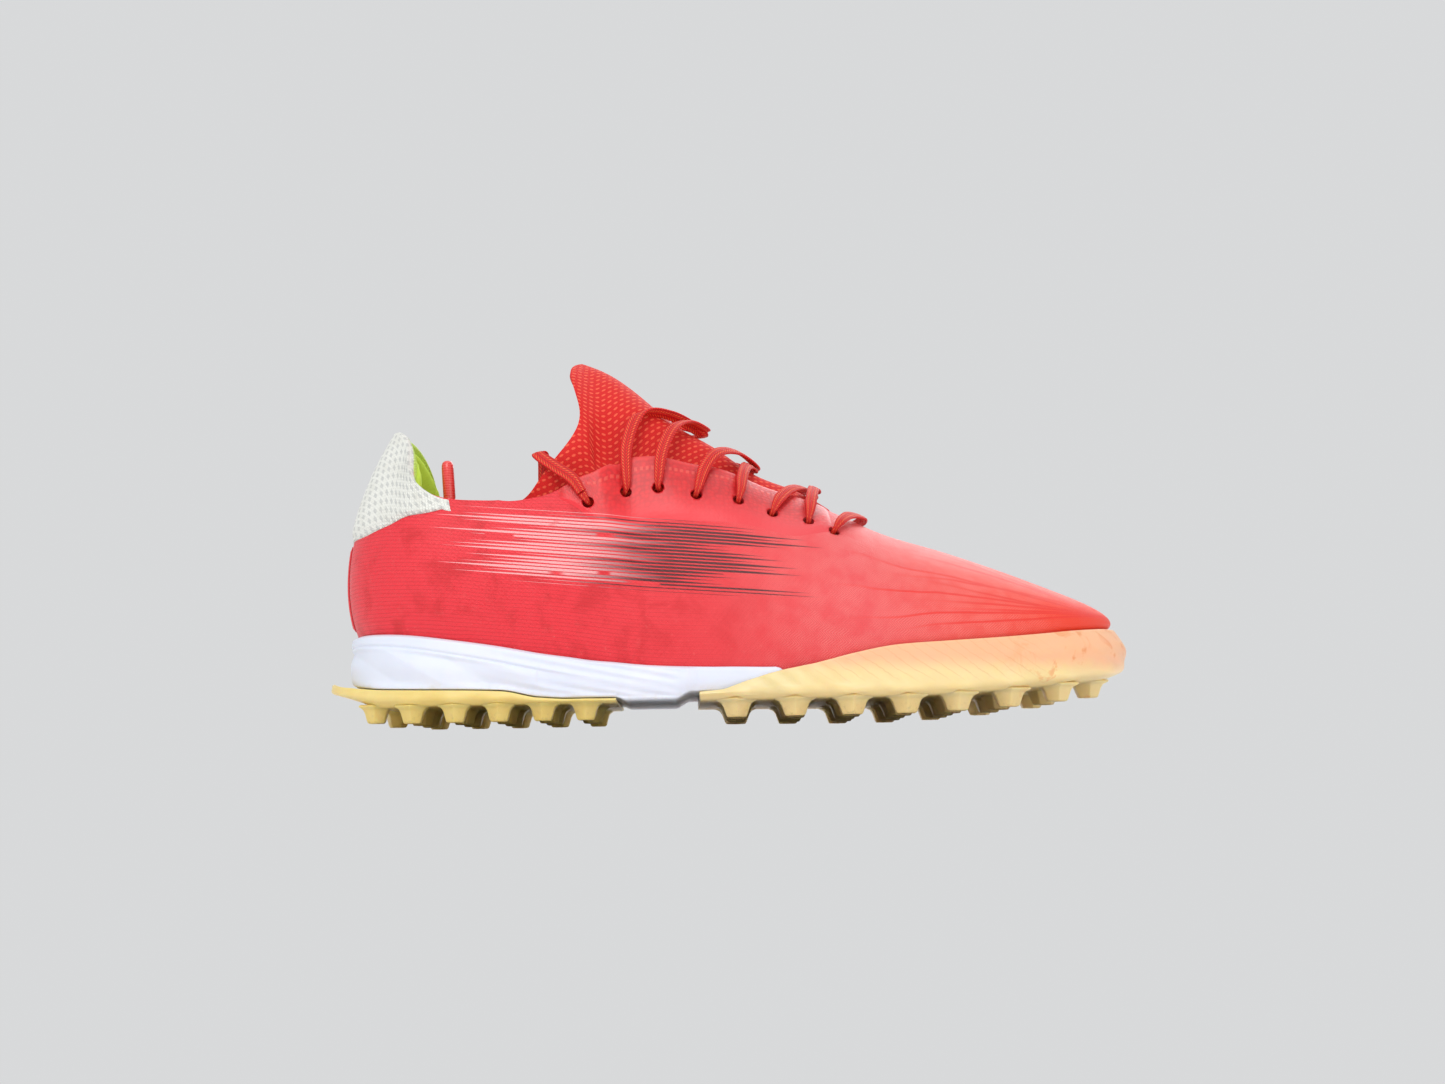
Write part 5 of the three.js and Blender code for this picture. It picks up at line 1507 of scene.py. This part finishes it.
def upper_material():
    m = Mat("upper_knit", Roughness=0.5, Sheen_Weight=0.05, Sheen_Roughness=0.4, Coat_Weight=0.12, Coat_Roughness=0.35)
    uvv, u, v = m.uv_mm()
    obj, ox, oy, oz = m.obj_mm()
    zone = m.attr("zone", True)
    px, pz, kk, vv, sd = m.attr("px"), m.attr("pz"), m.attr("kk"), m.attr("vv"), m.attr("sd")
    # fine diagonal knit under a clear film
    kn = knit_height(m, m.math("ADD", u, m.math("MULTIPLY", v, 0.35)), v, 1.05, 0.8)
    fine = m.wave(m.math("ADD", m.math("MULTIPLY", u, 0.9), m.math("MULTIPLY", v, 0.75)), 0.62)
    # horizontal threads at the heel and quarter
    warp = m.noise(obj, 0.02, 2.0, 0.5)
    threads = m.lines(m.math("ADD", v, m.math("MULTIPLY", warp, 4.0)), 1.35, 0.22, 0.2)
    back = m.step(px, 15.0, -55.0)
    blot = m.noise(obj, 0.085, 4.0, 0.62, 0.6)
    blot2 = m.noise(obj, 0.34, 3.0, 0.6)
    c = m.mix(m.math("MULTIPLY", m.math("MULTIPLY", m.step(blot, 0.46, 0.66), 0.75), m.step(px, 40, -60)), zone, srgb(216, 20, 34))
    c = m.mix(m.math("MULTIPLY", m.step(blot2, 0.55, 0.8), 0.22), c, srgb(255, 96, 96))
    # the stitch hollows are painted darker: painted shade in the knit relief
    c = m.mix(m.math("MULTIPLY", m.math("SUBTRACT", 1.0, kn), 0.32), c, srgb(176, 18, 24))
    c = m.mix(m.math("MULTIPLY", m.math("MULTIPLY", threads, back), 0.4), c, srgb(188, 14, 26))
    # pale mesh lights through the vamp, in herringbone bands
    vamp = m.math("MULTIPLY", m.step(px, -15, 35), m.step(px, 124, 92))
    band = m.math("ABSOLUTE", m.math("SUBTRACT", m.math("FRACT", m.math("DIVIDE", m.math("ADD", v, m.math("MULTIPLY", u, 0.25)), 4.2)), 0.5))
    mesh = m.lines(m.math("ADD", u, m.math("MULTIPLY", band, 4.4)), 0.92, 0.42, 0.35)
    patch = m.step(m.noise(obj, 0.12, 4.0, 0.65), 0.3, 0.62)
    c = m.mix(m.math("MULTIPLY", m.math("MULTIPLY", m.math("MULTIPLY", vamp, mesh), patch), 0.34), c, srgb(248, 170, 164))
    # thin bright curves fanning back from the toe, with a second family crossing them
    cv = None
    t = m.math("DIVIDE", m.math("SUBTRACT", 130.0, px), 104.0)
    t = m.math("MAXIMUM", t, 0.001)
    wob = m.math("MULTIPLY", m.math("SUBTRACT", m.noise(obj, 0.03, 2.0, 0.5), 0.5), 7.0)
    for z1, pw, end in ((24, 0.9, 0.8), (30, 1.15, 0.95), (37, 0.8, 0.7), (43, 1.05, 1.0), (50, 0.75, 0.8), (57, 1.1, 0.95), (65, 0.9, 0.75), (74, 1.0, 0.9), (33, 0.6, 0.62), (54, 1.5, 0.7)):
        zc = m.math("MULTIPLY_ADD", m.math("POWER", t, pw), z1 - 33.0, 34.5)
        d = m.math("ABSOLUTE", m.math("SUBTRACT", m.math("ADD", pz, m.math("MULTIPLY", wob, t)), zc))
        ln = m.math("MULTIPLY", m.step(d, 0.12, 0.62, 1.0, 0.0), m.step(t, end, end - 0.35))
        cv = ln if cv is None else m.math("MAXIMUM", cv, ln)
    cv = m.math("MULTIPLY", m.math("MULTIPLY", cv, m.step(px, 16, 50)), m.step(vv, 0.9, 0.62))
    c = m.mix(m.math("MULTIPLY", cv, 0.8), c, srgb(236, 34, 16))
    c, alpha, dark, rim = side_graphic(m, c)
    # scuffs and dust near the sole
    scuff = m.math("MULTIPLY", m.step(m.noise(obj, 0.6, 5.0, 0.7), 0.62, 0.74), m.step(vv, 0.3, 0.02))
    c = m.mix(m.math("MULTIPLY", scuff, 0.3), c, srgb(255, 176, 160))
    h = m.math("ADD", m.math("MULTIPLY", kn, 0.5), m.math("MULTIPLY", fine, 0.25))
    h = m.math("ADD", h, m.math("MULTIPLY", m.math("MULTIPLY", threads, back), 0.2))
    nb = m.bump(h, 0.22, 0.95)
    nb = m.bump(alpha, 0.05, 0.6, nb)
    nb = m.bump(m.noise(obj, 0.05, 3.0, 0.6), 1.1, 0.4, nb)
    rough = m.mixf(blot, 0.38, 0.6)
    rough = m.mixf(m.math("MULTIPLY", alpha, dark), rough, 0.28)
    return m.set(Base_Color=c, Roughness=rough, Normal=nb, Sheen_Tint=srgb(255, 150, 150), Subsurface_Weight=0.0)


def film_material():
    m = Mat("bonded_film", Roughness=0.4, Coat_Weight=0.35, Coat_Roughness=0.28, IOR=1.48)
    uvv, u, v = m.uv_mm()
    obj, ox, oy, oz = m.obj_mm()
    zone = m.attr("zone", True)
    edge = m.attr("edge")
    cell = m.voronoi(m.vec(u, v), 0.62, "F1", 0.55)
    kn = knit_height(m, m.math("ADD", u, m.math("MULTIPLY", v, 0.35)), v, 1.05, 0.8)
    blot = m.noise(obj, 0.16, 3.0, 0.6)
    c = m.mix(m.math("MULTIPLY", m.step(cell, 0.2, 0.75), 0.4), zone, srgb(158, 8, 14))
    c = m.mix(m.math("MULTIPLY", m.step(blot, 0.45, 0.75), 0.3), c, srgb(244, 44, 42))
    c = m.mix(m.step(edge, 0.16, 0.62), m.mix(m.step(m.attr("px"), -60, 40), srgb(238, 36, 50), srgb(228, 68, 74)), c)
    c, alpha, dark, rim = side_graphic(m, c)
    lip = m.step(edge, 0.93, 0.97)
    c = m.mix(m.math("MULTIPLY", lip, 0.4), c, srgb(244, 56, 52))
    mark = m.math("MULTIPLY", m.lines(u, 2.0, 0.55, 0.2), m.math("MULTIPLY", m.step(edge, 0.8, 0.82), m.step(edge, 0.87, 0.85)))
    c = m.mix(m.math("MULTIPLY", mark, 0.35), c, srgb(255, 110, 90))
    nb = m.bump(m.math("ADD", m.math("MULTIPLY", kn, 0.4), m.math("SUBTRACT", 1.0, cell)), 0.13, 0.8)
    nb = m.bump(mark, 0.12, 0.7, nb)
    return m.set(Base_Color=c, Roughness=m.mixf(blot, 0.32, 0.5), Normal=nb)


def tab_material():
    m = Mat("heel_knit", Roughness=0.85, Sheen_Weight=0.25, Sheen_Roughness=0.5)
    uvv, u, v = m.uv_mm()
    kn = knit_height(m, u, v, 1.35, 1.15)
    # grey bars rising diagonally, staggered row by row
    row = m.math("FLOOR", m.math("DIVIDE", v, 2.3))
    sh = m.math("ADD", u, m.math("MULTIPLY", row, 1.45))
    dash = m.math("MULTIPLY", m.lines(sh, 4.6, 0.44, 0.12), m.lines(v, 2.3, 0.6, 0.2))
    n = m.noise(uvv, 0.12, 3.0, 0.6)
    c = m.mix(m.math("MULTIPLY", dash, 0.42), srgb(246, 247, 240), srgb(156, 160, 164))
    # the stitch hollows are painted greyer: painted shade in the knit relief
    c = m.mix(m.math("MULTIPLY", m.math("SUBTRACT", 1.0, kn), 0.2), c, srgb(176, 178, 174))
    c = m.mix(m.math("MULTIPLY", m.step(n, 0.45, 0.75), 0.25), c, srgb(206, 204, 190))
    c = m.mix(m.attr("inn"), c, m.mix(kn, srgb(176, 214, 40), srgb(220, 252, 96)))
    return m.set(Base_Color=c, Normal=m.bump(m.math("ADD", kn, m.math("MULTIPLY", dash, 0.35)), 0.28, 0.95))


def lining_material():
    m = Mat("lining", Roughness=0.9, Sheen_Weight=0.45, Sheen_Roughness=0.5)
    v, x, y, z = m.obj_mm()
    s = m.math("ADD", x, m.math("MULTIPLY", y, 1.0))
    kn = m.math("MULTIPLY", m.wave(m.math("ADD", s, z), 0.85), m.wave(m.math("SUBTRACT", s, z), 0.85))
    n = m.noise(v, 0.08, 3.0, 0.6)
    c = m.mix(kn, srgb(200, 240, 50), srgb(226, 255, 104))
    c = m.mix(m.math("MULTIPLY", m.step(n, 0.45, 0.8), 0.2), c, srgb(190, 222, 70))
    return m.set(Base_Color=c, Sheen_Tint=srgb(235, 255, 150), Normal=m.bump(kn, 0.22, 0.9))


def tongue_material():
    m = Mat("tongue_knit", Roughness=0.7, Sheen_Weight=0.06, Sheen_Roughness=0.45)
    uvv, u, v = m.uv_mm()
    edge = m.attr("edge")
    obj, ox, oy, oz = m.obj_mm()
    weave = m.math("MULTIPLY", m.wave(m.math("ADD", u, v), 0.62), m.wave(m.math("SUBTRACT", u, v), 0.62))
    # staggered elongated dots, following the slope of the tongue
    a = m.math("ADD", m.math("MULTIPLY", u, 0.86), m.math("MULTIPLY", v, 0.5))
    b = m.math("SUBTRACT", m.math("MULTIPLY", v, 0.86), m.math("MULTIPLY", u, 0.5))
    row = m.math("FLOOR", m.math("DIVIDE", b, 2.2))
    aa = m.math("ADD", a, m.math("MULTIPLY", m.math("MODULO", row, 2.0), 1.2))
    fx = m.math("ABSOLUTE", m.math("SUBTRACT", m.math("FRACT", m.math("DIVIDE", aa, 2.4)), 0.5))
    fy = m.math("ABSOLUTE", m.math("SUBTRACT", m.math("FRACT", m.math("DIVIDE", b, 2.2)), 0.5))
    rad = m.math("SQRT", m.math("ADD", m.math("POWER", m.math("DIVIDE", fx, 0.33), 2.0), m.math("POWER", m.math("DIVIDE", fy, 0.21), 2.0)))
    dot = m.step(rad, 0.75, 1.15, 1.0, 0.0)
    field = m.step(edge, 5.0, 6.4)
    dot = m.math("MULTIPLY", dot, field)
    n = m.noise(obj, 0.09, 3.0, 0.6)
    c = m.mix(weave, srgb(200, 4, 0), srgb(255, 16, 4))
    c = m.mix(m.math("MULTIPLY", m.step(n, 0.4, 0.8), 0.35), c, srgb(214, 14, 10))
    c = m.mix(m.math("MULTIPLY", dot, 0.72), c, srgb(255, 104, 72))
    bind = m.math("MULTIPLY", m.step(edge, 1.9, 1.5), 1.0)
    c = m.mix(m.math("MULTIPLY", bind, 0.45), c, srgb(255, 48, 26))
    h = m.math("ADD", m.math("MULTIPLY", weave, 0.35), m.math("MULTIPLY", dot, 0.65))
    nb = m.bump(h, 0.22, 0.9)
    nb = m.bump(bind, 0.25, 0.6, nb)
    return m.set(Base_Color=c, Normal=nb, Sheen_Tint=srgb(255, 120, 90))


def midsole_material():
    m = Mat("midsole_foam", Roughness=0.48, Subsurface_Weight=0.06, Subsurface_Scale=0.004, Coat_Weight=0.1, Coat_Roughness=0.4)
    v, x, y, z = m.obj_mm()
    n = m.noise(v, 0.05, 3.0, 0.6)
    grain = m.noise(v, 2.4, 4.0, 0.7)
    c = m.mix(n, srgb(216, 225, 245), srgb(236, 240, 250))
    c = m.mix(m.math("MULTIPLY", m.step(grain, 0.6, 0.75), 0.18), c, srgb(200, 206, 222))
    low = m.step(m.attr("hz"), 3.2, 0.4)
    c = m.mix(m.math("MULTIPLY", m.math("MULTIPLY", low, m.step(m.noise(v, 0.22, 4.0, 0.7), 0.4, 0.75)), 0.35), c, srgb(206, 200, 178))
    return m.set(Base_Color=c, Roughness=m.mixf(grain, 0.38, 0.6), Normal=m.bump(grain, 0.05, 0.6))


def gum_material(name, heel=False):
    m = Mat(name, Roughness=0.42, Subsurface_Weight=0.35, Subsurface_Scale=0.004, Coat_Weight=0.2, Coat_Roughness=0.3, IOR=1.5)
    m.b.inputs["Subsurface Radius"].default_value = (1.0, 0.62, 0.22)
    v, x, y, z = m.obj_mm()
    hz = m.attr("hz")
    n = m.noise(v, 0.07, 4.0, 0.6, 0.4)
    if heel:
        c = m.mix(n, srgb(228, 198, 104), srgb(244, 222, 150))
        c = m.mix(m.math("MULTIPLY", m.step(hz, 5.0, 8.2), 0.6), c, srgb(200, 164, 74))
    else:
        peach = m.step(m.math("ADD", z, m.math("MULTIPLY", n, 5.0)), 15.0, 21.5)
        c = m.mix(n, srgb(238, 208, 142), srgb(250, 228, 176))
        c = m.mix(m.math("MULTIPLY", peach, 0.85), c, srgb(250, 182, 142))
        stain = m.math("MULTIPLY", m.step(m.noise(v, 0.1, 4.0, 0.7, 0.8), 0.56, 0.68), m.step(x, 84, 118))
        c = m.mix(m.math("MULTIPLY", stain, 0.6), c, srgb(232, 136, 70))
        # fine oblique scratches and short curved marks on the wrap
        q = m.math("ADD", m.math("MULTIPLY", x, 0.8), m.math("MULTIPLY", z, 1.2))
        sc = m.math("MULTIPLY", m.lines(m.math("ADD", q, m.math("MULTIPLY", n, 6.0)), 4.4, 0.1, 0.1), m.math("MULTIPLY", m.step(z, 9, 14), m.math("MULTIPLY", m.step(x, 20, 40), m.step(x, 112, 96))))
        c = m.mix(m.math("MULTIPLY", sc, 0.3), c, srgb(214, 152, 104))
    dirt = m.math("MULTIPLY", m.step(m.noise(v, 0.5, 5.0, 0.7), 0.5, 0.72), m.step(z, 5.5, 0.5))
    c = m.mix(m.math("MULTIPLY", dirt, 0.4), c, srgb(168, 152, 110))
    nb = m.bump(m.noise(v, 0.9, 4.0, 0.65), 0.12, 0.5)
    nb = m.bump(m.noise(v, 5.0, 3.0, 0.6), 0.03, 0.5, nb)
    return m.set(Base_Color=c, Roughness=m.mixf(n, 0.3, 0.55), Normal=nb)


def cloth_like(name, a, b, pitch, rough=0.85, **kw):
    m = Mat(name, Roughness=rough, **kw)
    v, x, y, z = m.obj_mm()
    w = m.math("MULTIPLY", m.wave(m.math("ADD", x, m.math("MULTIPLY", z, 0.4)), pitch), m.wave(m.math("ADD", y, m.math("MULTIPLY", z, 0.4)), pitch))
    n = m.noise(v, 0.1, 3.0, 0.6)
    c = m.mix(w, a, b)
    c = m.mix(m.math("MULTIPLY", m.step(n, 0.45, 0.75), 0.3), c, a)
    return m.set(Base_Color=c, Normal=m.bump(w, 0.18, 0.8))


def foam_like(name, a, b, rough=0.9):
    m = Mat(name, Roughness=rough)
    v, x, y, z = m.obj_mm()
    cell = m.voronoi(v, 1.6)
    c = m.mix(m.step(cell, 0.1, 0.6), a, b)
    return m.set(Base_Color=c, Normal=m.bump(cell, 0.2, 0.7))


def tape_material():
    m = Mat("seam_tape", Roughness=0.4, Coat_Weight=0.25, Coat_Roughness=0.25)
    v, x, y, z = m.obj_mm()
    al, ac = m.attr("along"), m.attr("across")
    st = m.math("MULTIPLY", m.lines(al, 2.4, 0.6, 0.15), m.step(m.math("ABSOLUTE", m.math("SUBTRACT", m.math("ABSOLUTE", ac), 0.62)), 0.16, 0.06))
    n = m.noise(v, 0.3, 3.0, 0.6)
    c = m.mix(n, srgb(204, 30, 44), srgb(238, 58, 66))
    c = m.mix(m.math("MULTIPLY", st, 0.6), c, srgb(255, 150, 140))
    return m.set(Base_Color=c, Roughness=m.mixf(n, 0.34, 0.5), Normal=m.bump(m.math("ADD", st, m.math("MULTIPLY", n, 0.4)), 0.16, 0.8))


give(upper, upper_material(), "upper_knit", nodes=("upper_shell",))
fm = film_material()
for f, nd in zip(films, ("eyestay_lateral", "eyestay_medial")):
    give(f, fm, "bonded_film", nodes=(nd,))
give(heel_tab, tab_material(), "heel_knit", nodes=("heel_tab",))
give(seam_tape, tape_material(), "seam_tape", nodes=("heel_seam_tape",))
give(collar_ob, lining_material(), "lining", nodes=("collar_lining", "collar_foam_lateral", "collar_foam_medial"))
give(forefoot, gum_material("rubber_forefoot"), "rubber_forefoot", nodes=("outsole_forefoot",))
give(heel, gum_material("rubber_heel", True), "rubber_heel", nodes=("outsole_heel",))
give(midsole, midsole_material(), "midsole_foam", nodes=("midsole",))
give(ins_foam, foam_like("insole_foam", srgb(34, 38, 44), srgb(66, 72, 80)), "insole_foam", body="insole", nodes=("sockliner_foam",))
give(ins_cover, cloth_like("insole_cover", srgb(160, 202, 34), srgb(214, 248, 88), 0.9, Sheen_Weight=0.4), "insole_cover", body="insole", nodes=("sockliner_cover",))
give(tongue, tongue_material(), "tongue_knit", body=None, nodes=("tongue_base", "tongue_flap"))
FLEX_N = Vector((-0.5, 0, 1)).normalized()
c0 = (Vector((-25, 0, 111)) + Vector(SHIFT))
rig.blend(tongue, "shoe", "tongue_flap", start=tuple((c0 - FLEX_N * 5.0) * MM), end=tuple((c0 + FLEX_N * 5.0) * MM))

# CAD pieces that stay, hidden inside the shoe
for node, mat in (("strobel_board", cloth_like("board", srgb(176, 206, 70), srgb(206, 234, 104), 1.1)),
                  ("heel_counter", cloth_like("stiffener", srgb(196, 184, 152), srgb(226, 216, 190), 1.4)),
                  ("toe_puff", cloth_like("stiffener_toe", srgb(204, 196, 172), srgb(232, 226, 208), 1.4))):
    me = NODES[node].data
    me.materials.clear()
    me.materials.append(mat)

# ------------------------------------------------------------------ stage and light
def plane(name, corners):
    me = bpy.data.meshes.new(name)
    me.from_pydata(corners, [], [(0, 1, 2, 3)])
    ob = bpy.data.objects.new(name, me)
    bpy.context.scene.collection.objects.link(ob)
    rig.stage(ob)
    return ob


def stage_material(name, tone):
    m = bpy.data.materials.new(name)
    m.use_nodes = True
    t = m.node_tree
    t.nodes.clear()
    out = t.nodes.new("ShaderNodeOutputMaterial")
    mix = t.nodes.new("ShaderNodeMixShader")
    geo = t.nodes.new("ShaderNodeNewGeometry")
    clear = t.nodes.new("ShaderNodeBsdfTransparent")
    d = t.nodes.new("ShaderNodeBsdfPrincipled")
    d.inputs["Base Color"].default_value = (*tone, 1)
    d.inputs["Roughness"].default_value = 0.9
    t.links.new(geo.outputs["Backfacing"], mix.inputs[0])
    t.links.new(d.outputs[0], mix.inputs[1])
    t.links.new(clear.outputs[0], mix.inputs[2])
    t.links.new(mix.outputs[0], out.inputs[0])
    return m


floor = plane("floor", [(-3, -3, -0.0006), (3, -3, -0.0006), (3, 3, -0.0006), (-3, 3, -0.0006)])
floor.data.materials.append(stage_material("floor_pale", (0.88, 0.88, 0.875)))

floor.visible_shadow = False
world = bpy.data.worlds.new("world")
bpy.context.scene.world = world
world.use_nodes = True
bg = world.node_tree.nodes["Background"]
bg.inputs[0].default_value = (0.93, 0.94, 0.95, 1)
bg.inputs[1].default_value = 0.74


def area(name, loc, target, size, power, color=(1, 1, 1)):
    d = bpy.data.lights.new(name, "AREA")
    d.shape, d.size, d.energy, d.color = "DISK", size, power, color
    o = bpy.data.objects.new(name, d)
    bpy.context.scene.collection.objects.link(o)
    o.location = loc
    o.rotation_euler = (Vector(target) - Vector(loc)).to_track_quat("-Z", "Y").to_euler()
    return o


area("key_outer", (-0.25, -1.0, 0.85), (0, 0, 0.05), 0.8, 5.6, (1, 0.985, 0.96))
area("fill_inner", (0.3, 0.95, 0.8), (0, 0, 0.05), 0.9, 4.2, (0.97, 0.985, 1))
area("top_soft", (0.0, -0.1, 1.3), (0, 0, 0.05), 1.0, 2.6)
area("low_front", (0.5, -0.9, 0.05), (0, 0, 0.04), 0.6, 1.2, (1, 0.98, 0.96))
bpy.context.scene.view_settings.view_transform = "Standard"

with open("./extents.json", "w") as fh:
    json.dump({"cad": CAD_BOX, "visual": [list(c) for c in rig.bounds()]}, fh)
